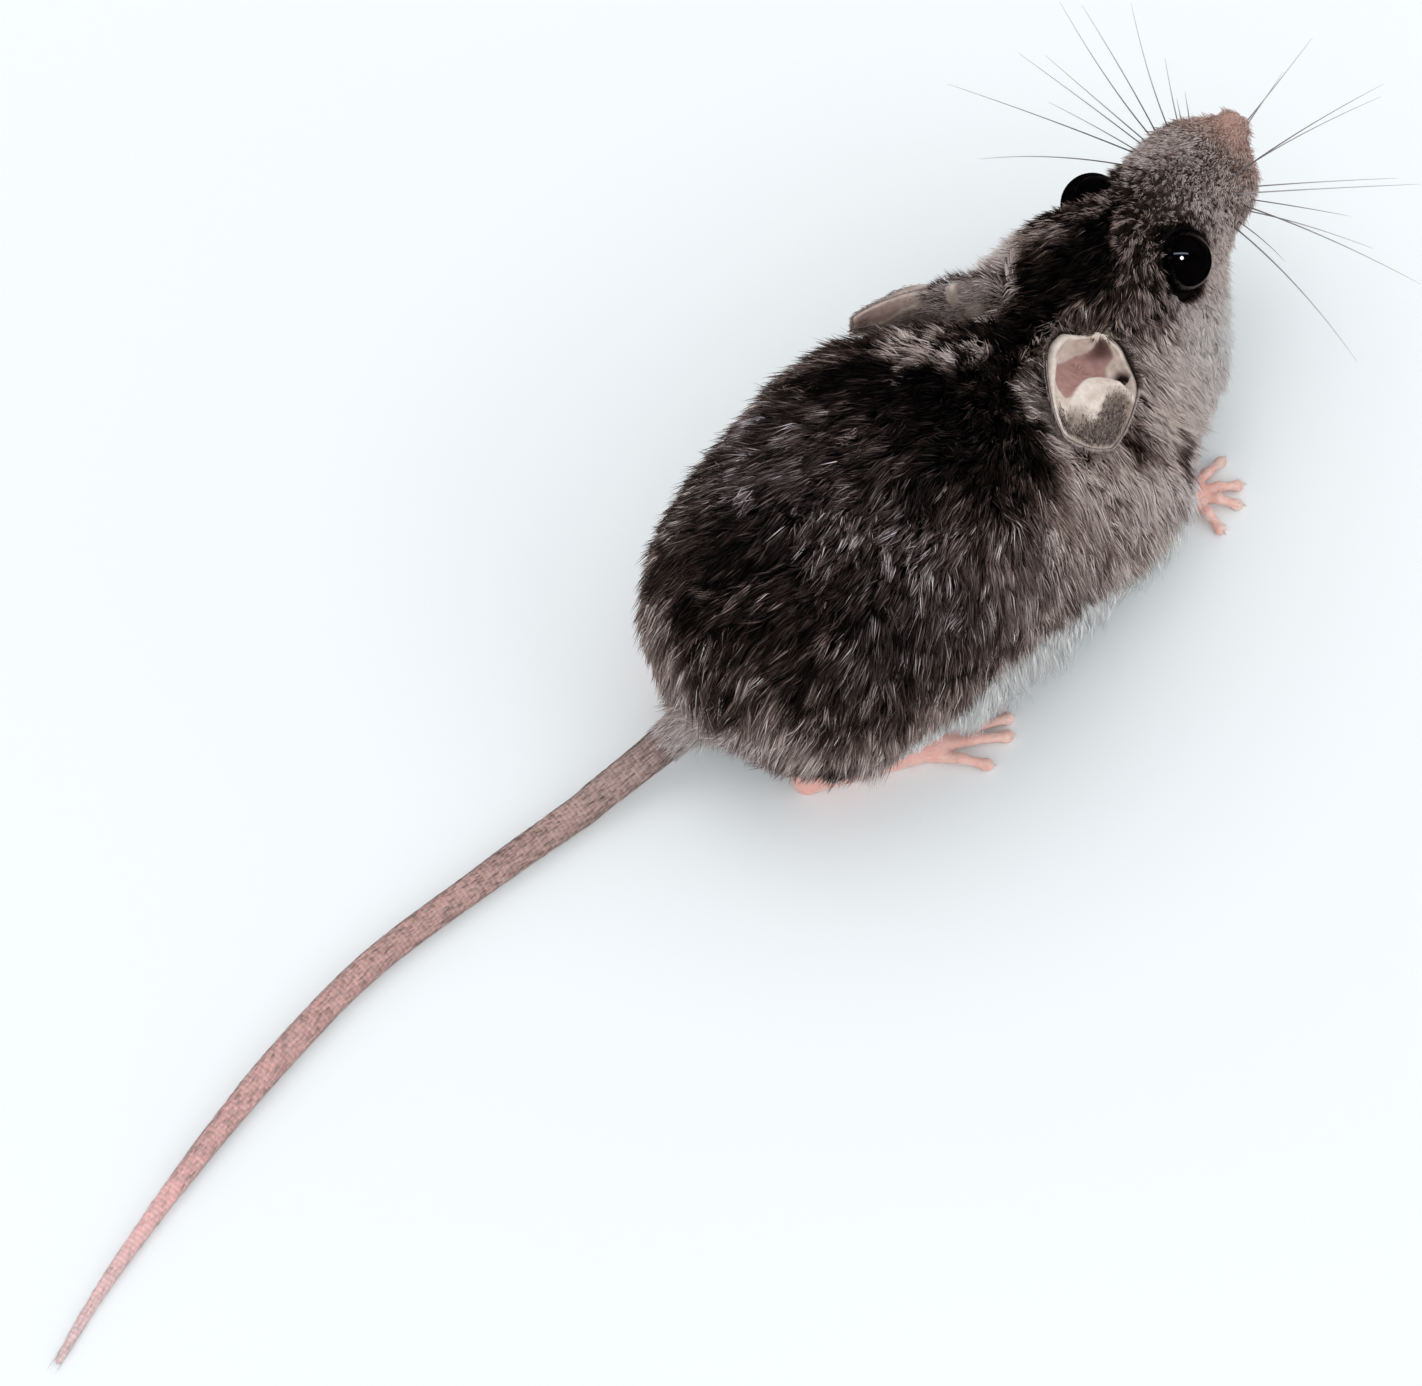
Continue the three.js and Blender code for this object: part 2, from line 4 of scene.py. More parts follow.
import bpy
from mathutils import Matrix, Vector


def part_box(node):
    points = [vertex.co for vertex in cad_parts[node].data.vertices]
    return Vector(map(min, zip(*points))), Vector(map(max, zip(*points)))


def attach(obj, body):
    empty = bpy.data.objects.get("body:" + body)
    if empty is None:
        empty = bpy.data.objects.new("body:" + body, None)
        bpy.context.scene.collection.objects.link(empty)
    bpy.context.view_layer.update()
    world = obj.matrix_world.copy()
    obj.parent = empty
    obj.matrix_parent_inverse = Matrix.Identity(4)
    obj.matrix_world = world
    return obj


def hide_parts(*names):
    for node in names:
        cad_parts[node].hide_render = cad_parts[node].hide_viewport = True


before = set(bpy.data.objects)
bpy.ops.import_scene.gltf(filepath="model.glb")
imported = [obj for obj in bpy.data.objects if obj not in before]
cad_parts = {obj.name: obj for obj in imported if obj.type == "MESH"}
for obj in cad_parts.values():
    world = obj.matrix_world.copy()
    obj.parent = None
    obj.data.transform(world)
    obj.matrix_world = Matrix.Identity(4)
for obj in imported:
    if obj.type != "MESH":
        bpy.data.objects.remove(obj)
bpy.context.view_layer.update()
import bpy
import math
import numpy as np

# ------------------------------------------------------------------ sizes of the animal, in mm
# Model frame: x = the animal's left, y = backward, z = up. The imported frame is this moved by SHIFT.
HEAD_AT = (-3.0, 53.4, 16.5)
HEAD_TURN, HEAD_PITCH, HEAD_ROLL = 0.2, 14.0, -6.4
EYE_RADIUS, EYE_SIDE, EYE_FWD, EYE_UP = 2.75, 4.6, -0.1, 0.9
EAR_LENGTH, EAR_HALF_WIDTH = 14.2, 5.3
TAIL_ROOT_RADIUS, TAIL_TIP_RADIUS, FLOOR_FLAT, BELLY_CLEAR = 1.62, 0.3, 0.12, 0.8


def P(l, f, u):
    return np.array([l, -f, u], float)


def unit(v):
    v = np.asarray(v, float)
    return v / np.maximum(np.linalg.norm(v, axis=-1, keepdims=True), 1e-9)


def smooth(a, b, x):
    t = np.clip((x - a) / (b - a), 0, 1)
    return t * t * (3 - 2 * t)


def rot_z(deg):
    a = math.radians(deg)
    return np.array([[math.cos(a), -math.sin(a), 0], [math.sin(a), math.cos(a), 0], [0, 0, 1.0]])


def head_basis():
    h, p, r = (math.radians(v) for v in (HEAD_TURN, HEAD_PITCH, HEAD_ROLL))
    fwd = np.array([math.sin(h) * math.cos(p), -math.cos(h) * math.cos(p), math.sin(p)])
    l0 = np.array([math.cos(h), math.sin(h), 0])
    u0 = np.cross(fwd, l0)
    left = l0 * math.cos(r) + u0 * math.sin(r)
    up = u0 * math.cos(r) - l0 * math.sin(r)
    return np.stack([left, -fwd, up], 1)


HB, HO = head_basis(), P(*HEAD_AT)


def in_head(l, f, u):
    return HB @ P(l, f, u) + HO


def to_head(p):
    """left, forward, up of points in the head's own frame"""
    q = (p - HO) @ HB
    return q[..., 0], -q[..., 1], q[..., 2]


def ell(c, r, turn=0):
    return ("ell", P(*c), np.array(r, float), rot_z(turn))


def head_ell(c, r):
    return ("ell", in_head(*c), np.array(r, float), HB)


def rod(a, b, ra, rb):
    return ("rod", P(*a), P(*b), ra, rb)


def head_rod(a, b, ra, rb):
    return ("rod", in_head(*a), in_head(*b), ra, rb)


TRUNK = [
    ell([-2.9, 10.5, 12.8], [13.6, 13.6, 12.4], -4),
    ell([-4.1, 20.5, 14.6], [15.5, 16.0, 13.9]),
    ell([-4.9, 33.5, 10.4], [14.0, 13.5, 10.4]),
    ell([-4.9, 27.5, 7.4], [15.0, 19.5, 6.7]),
]
LIMBS = [
    ell([-10.6, 11.2, 8.0], [6.9, 10.8, 7.6], -14),
    ell([4.8, 11.2, 8.0], [6.9, 10.8, 7.6], 14),
    ell([-13.9, 36.5, 6.4], [6.0, 8.6, 5.8], -8),
    ell([4.3, 36.5, 6.4], [6.0, 8.6, 5.8], 8),
    rod([-14.2, 39.6, 4.6], [-16.0, 42.4, 2.1], 3.3, 1.5),
    rod([3.9, 39.6, 4.6], [5.6, 42.4, 2.1], 3.3, 1.5),
    rod([-1.3, 4.4, 6.8], [0.1, -1.4, 4.9], 3.9, 1.9),
]
NECK = [
    ell([-3.9, 44.5, 9.4], [9.8, 9.0, 8.6]),
    ell([-3.7, 49.0, 7.6], [11.3, 9.5, 6.3]),
]
SKULL = [
    head_ell([0, -5.6, 0.9], [7.3, 7.6, 6.6]),
    head_ell([0, 0.4, -0.6], [4.9, 7.8, 5.3]),
    head_ell([0, -2.4, -4.6], [8.0, 8.6, 5.0]),
    head_rod([0.2, 3.4, -2.1], [0.3, 7.8, -2.4], 5.2, 3.6),
    head_rod([0.2, 8.8, -2.0], [0.2, 12.5, -1.5], 2.8, 1.6),
    head_ell([2.9, 7.4, -3.3], [3.2, 4.3, 3.0]),
    head_ell([-1.9, 7.6, -3.0], [2.9, 3.5, 2.6]),
]


def ear_frame(base, along, facing):
    z = unit([along[0], -along[1], along[2]])
    y = np.array([facing[0], -facing[1], facing[2]], float)
    y = unit(y - z * y.dot(z))
    return base, np.stack([np.cross(y, z), y, z], 1)


EARS = {
    "right": ear_frame(in_head(-3.3, -9.8, 4.1), [-0.6, -0.73, 0.33], [-0.06, 0.5, 0.86]),
    "left": ear_frame(in_head(4.5, -10.9, 1.1), [0.728, -0.684, 0.047], [0.684, 0.721, -0.106]),
}
POCKETS = [("ell", o + B @ np.array([0, 0.9, 8.4]), np.array([5.5, 4.3, 7.5]), B) for o, B in EARS.values()]
EYES = {"right": in_head(-EYE_SIDE, EYE_FWD, EYE_UP), "left": in_head(EYE_SIDE, EYE_FWD, EYE_UP)}
# the way each eye looks out: to the side, a little forward and up
EYE_AXIS = {
    "right": HB @ unit([-0.88, -0.20, 0.43]),
    "left": HB @ unit([0.88, -0.20, 0.43]),
}


def mass(m, p):
    if m[0] == "ell":
        _, c, r, B = m
        q = (p - c) @ B
        k0 = np.sqrt(((q / r) ** 2).sum(-1))
        k1 = np.sqrt(((q / r**2) ** 2).sum(-1))
        return k0 * (k0 - 1) / np.maximum(k1, 1e-9)
    _, a, b, ra, rb = m
    ba = b - a
    t = np.clip((p - a) @ ba / ba.dot(ba), 0, 1)
    return np.linalg.norm(p - a - t[..., None] * ba, axis=-1) - (ra + (rb - ra) * t)


def soft(a, b, k):
    h = np.maximum(k - np.abs(a - b), 0) / k
    return np.minimum(a, b) - h * h * k / 4


def soft_all(masses, p, k):
    d = mass(masses[0], p)
    for m in masses[1:]:
        d = soft(d, mass(m, p), k)
    return d


def outline(p):
    """signed distance-like field of the coat's outline"""
    d = soft_all(TRUNK, p, 4.5)
    d = soft(d, soft_all(LIMBS, p, 2.0), 3.2)
    d = soft(d, soft_all(NECK, p, 4.5), 5.0)
    d = soft(d, soft_all(SKULL, p, 2.6), 4.0)
    for m in POCKETS:
        d = -soft(-d, mass(m, p), 1.6)
    return np.maximum(d, BELLY_CLEAR - p[..., 2])


def coat_depth(p):
    """how deep the skin lies under the tips of the coat"""
    f, z = -p[..., 1], p[..., 2]
    hl, hf, hu = to_head(p)
    d = 1.9 - 0.7 * (1 - smooth(2.0, 7.0, z))
    # shorter towards the head, shortest on the muzzle
    head = smooth(44.0, 52.0, f + 0.25 * (z - 12))
    d = d + (1.05 - d) * head
    face = smooth(-1.0, 7.0, hf) * smooth(49.0, 53.0, f)
    d = d + (0.5 - d) * face
    tip = smooth(8.6, 12.3, hf) * smooth(55.0, 58.0, f)
    d = d + (0.12 - d) * tip
    return d


def skin_field(p):
    """the skin: the outline drawn in by the coat's depth, raised into a ring round each eye"""
    d = outline(p) + coat_depth(p)
    for side in ("right", "left"):
        v = p - EYES[side]
        ring = np.maximum(np.linalg.norm(v, axis=-1) - (EYE_RADIUS + 0.36), v @ EYE_AXIS[side] - 0.2)
        d = soft(d, ring, 0.9)
    return d


# ------------------------------------------------------------------ tail course
TAIL_COURSE = [P(*q) for q in (
    (-0.9, 3.0, 6.2), (0.3, -1.6, 4.8), (1.6, -5.6, 2.7), (3.2, -12.5, 1.42), (5.1, -21.6, 1.24),
    (7.1, -33.0, 1.1), (7.3, -43.5, 1.0), (6.5, -55.5, 0.8), (5.0, -67.0, 0.42), (3.6, -73.6, 0.2))]


def tail_points(n):
    """n points, evenly spaced along the centripetal curve through the tail's course"""
    pts = [2 * TAIL_COURSE[0] - TAIL_COURSE[1], *TAIL_COURSE, 2 * TAIL_COURSE[-1] - TAIL_COURSE[-2]]
    fine = []
    for i in range(1, len(pts) - 2):
        p0, p1, p2, p3 = pts[i - 1:i + 3]
        d0, d1, d2 = (max(np.linalg.norm(b - a), 1e-6) ** 0.5 for a, b in ((p0, p1), (p1, p2), (p2, p3)))
        t1 = ((p1 - p0) / d0 - (p2 - p0) / (d0 + d1) + (p2 - p1) / d1) * d1
        t2 = ((p2 - p1) / d1 - (p3 - p1) / (d1 + d2) + (p3 - p2) / d2) * d1
        w = np.linspace(0, 1, 200, endpoint=False)[:, None]
        fine.append(p1 + t1 * w + (-3 * p1 + 3 * p2 - 2 * t1 - t2) * w**2 + (2 * p1 - 2 * p2 + t1 + t2) * w**3)
    fine = np.concatenate(fine + [pts[-2][None]])
    s = np.concatenate([[0], np.cumsum(np.linalg.norm(np.diff(fine, axis=0), axis=1))])
    at = np.linspace(0, s[-1], n)
    return np.stack([np.interp(at, s, fine[:, k]) for k in range(3)], 1), s[-1]


def tail_radius(t):
    body = TAIL_ROOT_RADIUS - 0.42 * np.minimum(1, t / 0.35) - 0.16 * np.maximum(0, (t - 0.35) / 0.65)
    taper = np.maximum(0, (t - 0.62) / 0.38)
    return body + (TAIL_TIP_RADIUS - body) * taper**1.15


# ------------------------------------------------------------------ ears
def ear_sheet(s, v):
    """middle of the ear's leaf in its own frame; s runs up the leaf, v across it"""
    hw = EAR_HALF_WIDTH * np.sin(np.pi * (0.17 + 0.83 * s)) ** 0.62
    A = 0.75 + 1.2 * (1 - s) ** 1.4
    R = hw / A
    bow = -1.3 * np.exp(-(((s - 0.3) / 0.2) ** 2)) - 2.0 * s * s
    return np.stack([R * np.sin(v * A), R * (1 - np.cos(v * A)) + bow, EAR_LENGTH * s], -1)


# ------------------------------------------------------------------ sampling helpers
class Field:
    """A field sampled on a box of grid points, read back with its slope by trilinear steps."""

    def __init__(self, f, lo, hi, step):
        self.lo, self.step = np.array(lo, float), step
        n = [int(math.ceil((b - a) / step)) + 1 for a, b in zip(lo, hi)]
        ax = [self.lo[k] + step * np.arange(n[k]) for k in range(3)]
        self.v = np.empty(n)
        for i, x in enumerate(ax[0]):
            Y, Z = np.meshgrid(ax[1], ax[2], indexing="ij")
            self.v[i] = f(np.stack([np.full(Y.shape, x), Y, Z], -1).reshape(-1, 3)).reshape(Y.shape)
        self.g = np.stack(np.gradient(self.v, step), -1)
        self.n = np.array(n)

    def read(self, p, slope=True):
        q = (p - self.lo) / self.step
        i = np.clip(np.floor(q).astype(int), 0, self.n - 2)
        w = np.clip(q - i, 0, 1)
        val, gr = 0.0, 0.0
        for a in (0, 1):
            for b in (0, 1):
                for c in (0, 1):
                    k = (w[:, 0] if a else 1 - w[:, 0]) * (w[:, 1] if b else 1 - w[:, 1]) * (w[:, 2] if c else 1 - w[:, 2])
                    j = (i[:, 0] + a, i[:, 1] + b, i[:, 2] + c)
                    val = val + k * self.v[j]
                    if slope:
                        gr = gr + k[:, None] * self.g[j]
        return (val, gr) if slope else val


def surface_net(f, lo, hi, step):
    """closed mesh of f = 0: one vertex in each cell the surface crosses, drawn onto it"""
    fld = Field(f, lo, hi, step)
    val = fld.v.copy()
    for ax in range(3):
        for end in (0, -1):
            s = [slice(None)] * 3
            s[ax] = end
            val[tuple(s)] = np.maximum(val[tuple(s)], 0.02)
    n = np.array(val.shape)
    cells = n - 1
    total, count = np.zeros((*cells, 3)), np.zeros(cells)
    quads = []
    inside = val < 0
    for ax in range(3):
        a = [slice(None)] * 3
        b = [slice(None)] * 3
        a[ax], b[ax] = slice(0, -1), slice(1, None)
        cross = inside[tuple(a)] != inside[tuple(b)]
        ijk = np.argwhere(cross)
        va = val[tuple(a)][cross]
        vb = val[tuple(b)][cross]
        pos = ijk.astype(float)
        pos[:, ax] += va / (va - vb)
        o1, o2 = [k for k in range(3) if k != ax]
        ring = []
        for d1, d2 in ((-1, -1), (0, -1), (0, 0), (-1, 0)):
            c = ijk.copy()
            c[:, o1] += d1
            c[:, o2] += d2
            ok = (c >= 0).all(1) & (c < cells).all(1)
            cc = c[ok]
            np.add.at(total, (cc[:, 0], cc[:, 1], cc[:, 2]), pos[ok])
            np.add.at(count, (cc[:, 0], cc[:, 1], cc[:, 2]), 1)
            ring.append(np.where(ok, np.ravel_multi_index(np.clip(c, 0, cells - 1).T, cells), -1))
        ring = np.stack(ring, 1)
        keep = (ring >= 0).all(1)
        flip = inside[tuple(a)][cross] == (ax == 1)
        ring[flip] = ring[flip][:, ::-1]
        quads.append(ring[keep])
    used = np.flatnonzero(count.ravel())
    ident = np.full(count.size, -1)
    ident[used] = np.arange(len(used))
    pts = fld.lo + step * total.reshape(-1, 3)[used] / count.ravel()[used][:, None]
    q = ident[np.concatenate(quads)]
    e = 0.04
    for _ in range(2):
        g = np.stack([(f(pts + np.eye(3)[k] * e) - f(pts - np.eye(3)[k] * e)) / (2 * e) for k in range(3)], 1)
        v = f(pts)
        gg = (g**2).sum(1)
        move = np.where((gg > 0.05) & (np.abs(v) < 1.0), np.clip(v / np.maximum(gg, 0.05), -step / 2, step / 2), 0)
        pts = pts - g * move[:, None]
    return pts, np.concatenate([q[:, :3], q[:, [0, 2, 3]]])


def noise(p, size, seed):
    """smooth noise from -1 to 1 with features of the given size"""
    q = p / size + 37.3 * seed
    i = np.floor(q).astype(np.int64)
    w = q - i
    w = w * w * (3 - 2 * w)
    out = 0.0
    for a in (0, 1):
        for b in (0, 1):
            for c in (0, 1):
                h = (i[..., 0] + a) * 374761393 + (i[..., 1] + b) * 668265263 + (i[..., 2] + c) * 2147483647 + seed * 974711
                h = (h ^ (h >> 13)) * 1274126177
                h = ((h ^ (h >> 16)) & 0xFFFF) / 32767.5 - 1
                out = out + h * (w[..., 0] if a else 1 - w[..., 0]) * (w[..., 1] if b else 1 - w[..., 1]) * (w[..., 2] if c else 1 - w[..., 2])
    return out


# ------------------------------------------------------------------ scene helpers
a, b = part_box("eye_right")
SHIFT = (np.array(a) + np.array(b)) * 500 - EYES["right"]
rng = np.random.default_rng(7)


def mesh_object(name, verts, tris, attrs=None, uv=None, materials=(), index=None, smooth=True):
    me = bpy.data.meshes.new(name)
    me.vertices.add(len(verts))
    me.vertices.foreach_set("co", ((verts + SHIFT) * 0.001).astype(np.float32).ravel())
    me.loops.add(3 * len(tris))
    me.loops.foreach_set("vertex_index", tris.astype(np.int32).ravel())
    me.polygons.add(len(tris))
    me.polygons.foreach_set("loop_start", np.arange(0, 3 * len(tris), 3, dtype=np.int32))
    for m in materials:
        me.materials.append(m)
    if index is not None:
        me.polygons.foreach_set("material_index", index.astype(np.int32))
    for key, arr in (attrs or {}).items():
        at = me.attributes.new(key, "FLOAT_COLOR", "POINT")
        at.data.foreach_set("color", arr.astype(np.float32).ravel())
    if uv is not None:
        me.uv_layers.new(name="OFBake")
        me.uv_layers["OFBake"].data.foreach_set("uv", uv[tris.ravel()].astype(np.float32).ravel())
    me.update(calc_edges=True)
    if smooth:
        me.shade_smooth()
    ob = bpy.data.objects.new(name, me)
    bpy.context.scene.collection.objects.link(ob)
    return ob


class Nodes:
    """small builder for node materials"""

    def __init__(self, name, **shader):
        self.m = bpy.data.materials.new(name)
        self.m.use_nodes = True
        self.t = self.m.node_tree
        self.bsdf = self.t.nodes["Principled BSDF"]
        for k, v in shader.items():
            self.bsdf.inputs[k.replace("_", " ")].default_value = v

    def new(self, kind, **props):
        n = self.t.nodes.new(kind)
        for k, v in props.items():
            setattr(n, k, v)
        return n

    def link(self, a, b):
        self.t.links.new(a, b)

    def put(self, socket, v):
        if isinstance(v, bpy.types.NodeSocket):
            self.link(v, socket)
        else:
            socket.default_value = v

    def attr(self, name):
        n = self.new("ShaderNodeAttribute", attribute_name=name)
        s = self.new("ShaderNodeSeparateColor")
        self.link(n.outputs["Color"], s.inputs[0])
        return s.outputs[0], s.outputs[1], s.outputs[2], n.outputs["Alpha"]

    def math(self, op, a, b=0.0, clamp=False):
        n = self.new("ShaderNodeMath", operation=op, use_clamp=clamp)
        self.put(n.inputs[0], a)
        self.put(n.inputs[1], b)
        return n.outputs[0]

    def mix(self, fac, a, b, how="MIX"):
        n = self.new("ShaderNodeMix", data_type="RGBA", blend_type=how)
        self.put(n.inputs[0], fac)
        self.put(n.inputs[6], a)
        self.put(n.inputs[7], b)
        return n.outputs[2]

    def ramp(self, fac, stops):
        n = self.new("ShaderNodeValToRGB")
        el = n.color_ramp.elements
        while len(el) < len(stops):
            el.new(0.5)
        for e, (x, c) in zip(el, stops):
            e.position = x
            e.color = (*c, 1) if len(c) == 3 else c
        self.put(n.inputs[0], fac)
        return n.outputs[0]

    def place(self):
        return self.new("ShaderNodeTexCoord").outputs["Object"]

    def noise(self, scale, detail=2.0, vec=None, rough=0.5):
        n = self.new("ShaderNodeTexNoise")
        n.inputs["Scale"].default_value = scale
        n.inputs["Detail"].default_value = detail
        n.inputs["Roughness"].default_value = rough
        self.link(vec or self.place(), n.inputs["Vector"])
        return n.outputs["Fac"]

    def bump(self, height, strength, distance):
        n = self.new("ShaderNodeBump")
        n.inputs["Strength"].default_value = strength
        n.inputs["Distance"].default_value = distance
        self.link(height, n.inputs["Height"])
        self.link(n.outputs[0], self.bsdf.inputs["Normal"])

    def colour(self, c):
        self.put(self.bsdf.inputs["Base Color"], c)
        return self


def c4(*c):
    return (*c, 1.0)


# ------------------------------------------------------------------ markings
WHITE_LINE = np.array([  # forward, height below which the coat is white
    (-8, 3.5), (0, 4.0), (5, 5.8), (9, 9.8), (14, 12.3), (20, 12.4), (26, 10.2), (31, 7.8), (38, 7.2), (46, 6.2), (52, 6.0)])
SIDE_TONE = np.array([  # forward, tone of the flanks
    (-7, 0.34), (-3, 0.16), (1, 0.032), (6, 0.038), (11, 0.060), (18, 0.105), (24, 0.14), (30, 0.24), (36, 0.42), (46, 0.66)])
TOP_TONE = np.array([   # forward, tone over the spine
    (-7, 0.09), (-3, 0.05), (1, 0.016), (6, 0.016), (12, 0.050), (16, 0.036), (21, 0.006), (27, 0.008), (33, 0.007), (38, 0.004), (44, 0.004)])
SPINE_TURN = 6.0        # degrees: the dark band over the spine lies a little to the left
DARK_SPOTS = [P(-13.3, 27.1, 24.2), P(-15.8, 37.9, 16.0), P(-17.4, 42.9, 10.5), P(-1.8, 26.5, 27.3)]


def around(x, c, w):
    return np.exp(-(((x - c) / w) ** 2))


def flecking(p):
    """how thick the black flecks lie between the eyes and over the brow and cheek"""
    hl, hf, hu = to_head(p)
    w = around(hf, -1.0, 5.5) * smooth(0.2, 2.8, hu) + 0.8 * around(hf, -3.0, 5.0) * around(np.abs(hl), 5.0, 2.6) * smooth(-1, 3, hu)
    return np.clip(w * smooth(44, 49, -p[:, 1]), 0, 1)


def markings(p, n):
    """tone of the coat, how white it is, how pink the skin shows, and how lilac it is, at points p"""
    l, f, z = p[:, 0], -p[:, 1], p[:, 2]
    hl, hf, hu = to_head(p)
    turn = np.abs(np.degrees(np.arctan2(l + 3.6, z - 11.0)) - SPINE_TURN)
    band = 1 - smooth(24, 50, turn + 7 * noise(p, 4.0, 15))
    side = np.interp(f, SIDE_TONE[:, 0], SIDE_TONE[:, 1])
    tone = np.exp(np.log(side) * (1 - band) + np.log(np.interp(f, TOP_TONE[:, 0], TOP_TONE[:, 1])) * band)
    tone = tone * np.exp(0.38 * noise(p, 6.0, 3) + 0.40 * noise(p, 1.9, 19) + 1.75 * (1 - smooth(10.5, 17.5, z)) * around(f, 7, 9))
    # pale hair close round the right ear, and pale streaks over the nape behind the left one
    o, B = EARS["right"]
    q = (p - o) @ B
    ring = np.sqrt((q[:, 0] / 5.8) ** 2 + ((q[:, 2] - 8.3) / 8.2) ** 2 + (q[:, 1] / 9.0) ** 2)
    near = (1 - smooth(0.95, 1.22, ring)) * smooth(-0.45, 0.35, noise(p, 1.5, 25) + 0.25)
    goal = 0.14 + 0.34 * smooth(4.0, 9.0, q[:, 2])
    tone = tone + (goal * np.exp(0.5 * noise(p, 1.6, 23)) - tone) * near
    o, B = EARS["left"]
    d = np.linalg.norm(p - (o + B @ np.array([0, -1.5, 2.5])), axis=1)
    near = (1 - smooth(2.5, 4.8, d)) * smooth(-0.45, 0.30, noise(p, 1.2, 27) + 0.25)
    tone = tone + (0.36 * np.exp(0.5 * noise(p, 1.6, 23)) - tone) * near
    d = np.linalg.norm((p - P(1.0, 31.0, 24.0)) / np.array([4.2, 5.4, 5.0]), axis=1)
    near = (1 - smooth(0.7, 1.15, d)) * smooth(-0.12, 0.30, noise(p * np.array([1, 0.3, 1]), 0.75, 25))
    tone = tone + (0.42 * np.exp(0.4 * noise(p, 1.6, 23)) - tone) * near
    for c in DARK_SPOTS:
        tone = tone * np.exp(-3.0 * around(np.linalg.norm(p - c, axis=1), 0, 1.9))
    # head
    head = smooth(42.0, 47.5, f)
    face = 0.29 - 0.09 * smooth(-2, -6, hf) + 0.50 * smooth(2.6, -4.5, hu) * smooth(3.2, 6.5, np.abs(hl)) * smooth(9, 3, hf)
    middle = -1.2 + 2.2 * smooth(-8.5, -0.5, hf)
    width = 0.3 + 3.1 * smooth(0.0, -7.5, hf) + 0.9 * noise(p, 1.1, 5)
    crown = (1 - smooth(0.75, 1.3, np.abs(hl - middle) / np.maximum(width, 0.4))) * smooth(1.8, 3.6, hu)
    crown = crown * (1 - smooth(-1.5, 1.0, hf))
    face = face * np.exp(0.45 * noise(p, 1.2, 33) - 0.9 * smooth(2.0, 4.0, hl) * smooth(-7, -4, hf) * (1 - smooth(1, 4, hf)) * smooth(-0.5, 1.5, hu))
    face = np.exp(np.log(face) * (1 - crown) + (math.log(0.0055) + 0.7 * noise(p, 0.9, 35)) * crown)
    tone = np.exp(np.log(tone) * (1 - head) + np.log(face) * head)
    o, B = EARS["right"]                            # brown hair round the root of the right ear
    q = (p - o) @ B
    ring = np.sqrt((q[:, 0] / 3.9) ** 2 + ((q[:, 2] - 2.0) / 3.4) ** 2 + (q[:, 1] / 4.6) ** 2)
    near = (1 - smooth(0.8, 1.15, ring)) * smooth(-0.5, 0.2, noise(p, 1.0, 41) + 0.2)
    tone = tone + np.maximum(0.12 * np.exp(0.4 * noise(p, 1.2, 43)) - tone, 0) * near
    line = np.interp(f, WHITE_LINE[:, 0], WHITE_LINE[:, 1]) + 0.9 * noise(p, 2.5, 9)
    white = 1 - smooth(-0.7, 0.7, z - line)
    chin = smooth(-4.2, -6.2, hu + 0.5 * noise(p, 1.5, 4)) * smooth(50, 53, f)
    jowl = 0.50 * smooth(6.6, 8.4, np.abs(hl)) * smooth(0.5, -3.0, hu) * smooth(46, 50, f)
    white = np.clip(np.maximum.reduce([white * (1 - smooth(50, 54, f)), chin, jowl]), 0, 1)
    pink = smooth(8.4, 11.6, hf + 0.9 * noise(p, 1.2, 6) - 0.10 * hl) * smooth(56, 59, f)
    for side in ("right", "left"):                  # black rim round the eyes
        v = p - EYES[side]
        r = np.linalg.norm(v, axis=1)
        r = r + 0.55 * smooth(0.0, 0.8, -v[:, 1] / r)
        rim = 1 - smooth(EYE_RADIUS + 0.70, EYE_RADIUS + 1.30 + 0.25 * noise(p, 0.6, 45), r)
        tone = tone * (1 - 0.95 * rim)
        white = white * (1 - rim)
    lilac = np.clip(0.06 + 0.4 * noise(p, 5.0, 11) + 0.9 * smooth(15, 21, z) * around(f, 12, 9), 0, 1)
    return tone, white, pink, lilac


# ------------------------------------------------------------------ the skin
SK_LO, SK_HI = (-24.0, -69.0, 0.4), (16.5, 6.4, 31.0)
skin_pts, skin_tris = surface_net(skin_field, SK_LO, SK_HI, 0.42)
coat = Field(outline, (-26.0, -71.0, -1.0), (18.5, 9.0, 33.0), 0.5)


def normals_of(p, fld=coat):
    return unit(fld.read(p)[1])


def foot_masses(heel, pad, heel_r, pad_r, toe_r, toes):
    """sole from heel to pad, and toes with a knuckle and a round tip pad"""
    out = [rod(heel, pad, heel_r, pad_r * 0.92)]
    claws, hairs = [], []
    for t in toes:
        a0, b0 = np.array(t[0]), np.array(t[1])
        r = t[2] if len(t) > 2 else toe_r
        knee = a0 * 0.52 + b0 * 0.48 + np.array([0, 0, 0.34])
        out.append(rod(list(a0), list(knee), r * 1.12, r * 0.84))
        out.append(rod(list(knee), list(b0 + [0, 0, 0.02]), r * 0.80, r * 0.74))
        d = unit(b0 - knee)
        out.append(("ell", P(*(b0 + [0, 0, 0.02])), np.array([r * 0.9, r * 0.98, r * 0.88]), np.eye(3)))
        claws.append((P(*(b0 + [0, 0, 0.16])), unit([d[0], -d[1], 0.0]), r))
        hairs.append((P(*a0), P(*b0), r))
    base = np.array(pad)
    for k in range(3):
        s = np.array(toes[min(k + 1, len(toes) - 1)][0]) * 0.6 + base * 0.4
        out.append(("ell", P(s[0], s[1], 0.55), np.array([0.75, 0.8, 0.55]), np.eye(3)))
    return out, claws, hairs


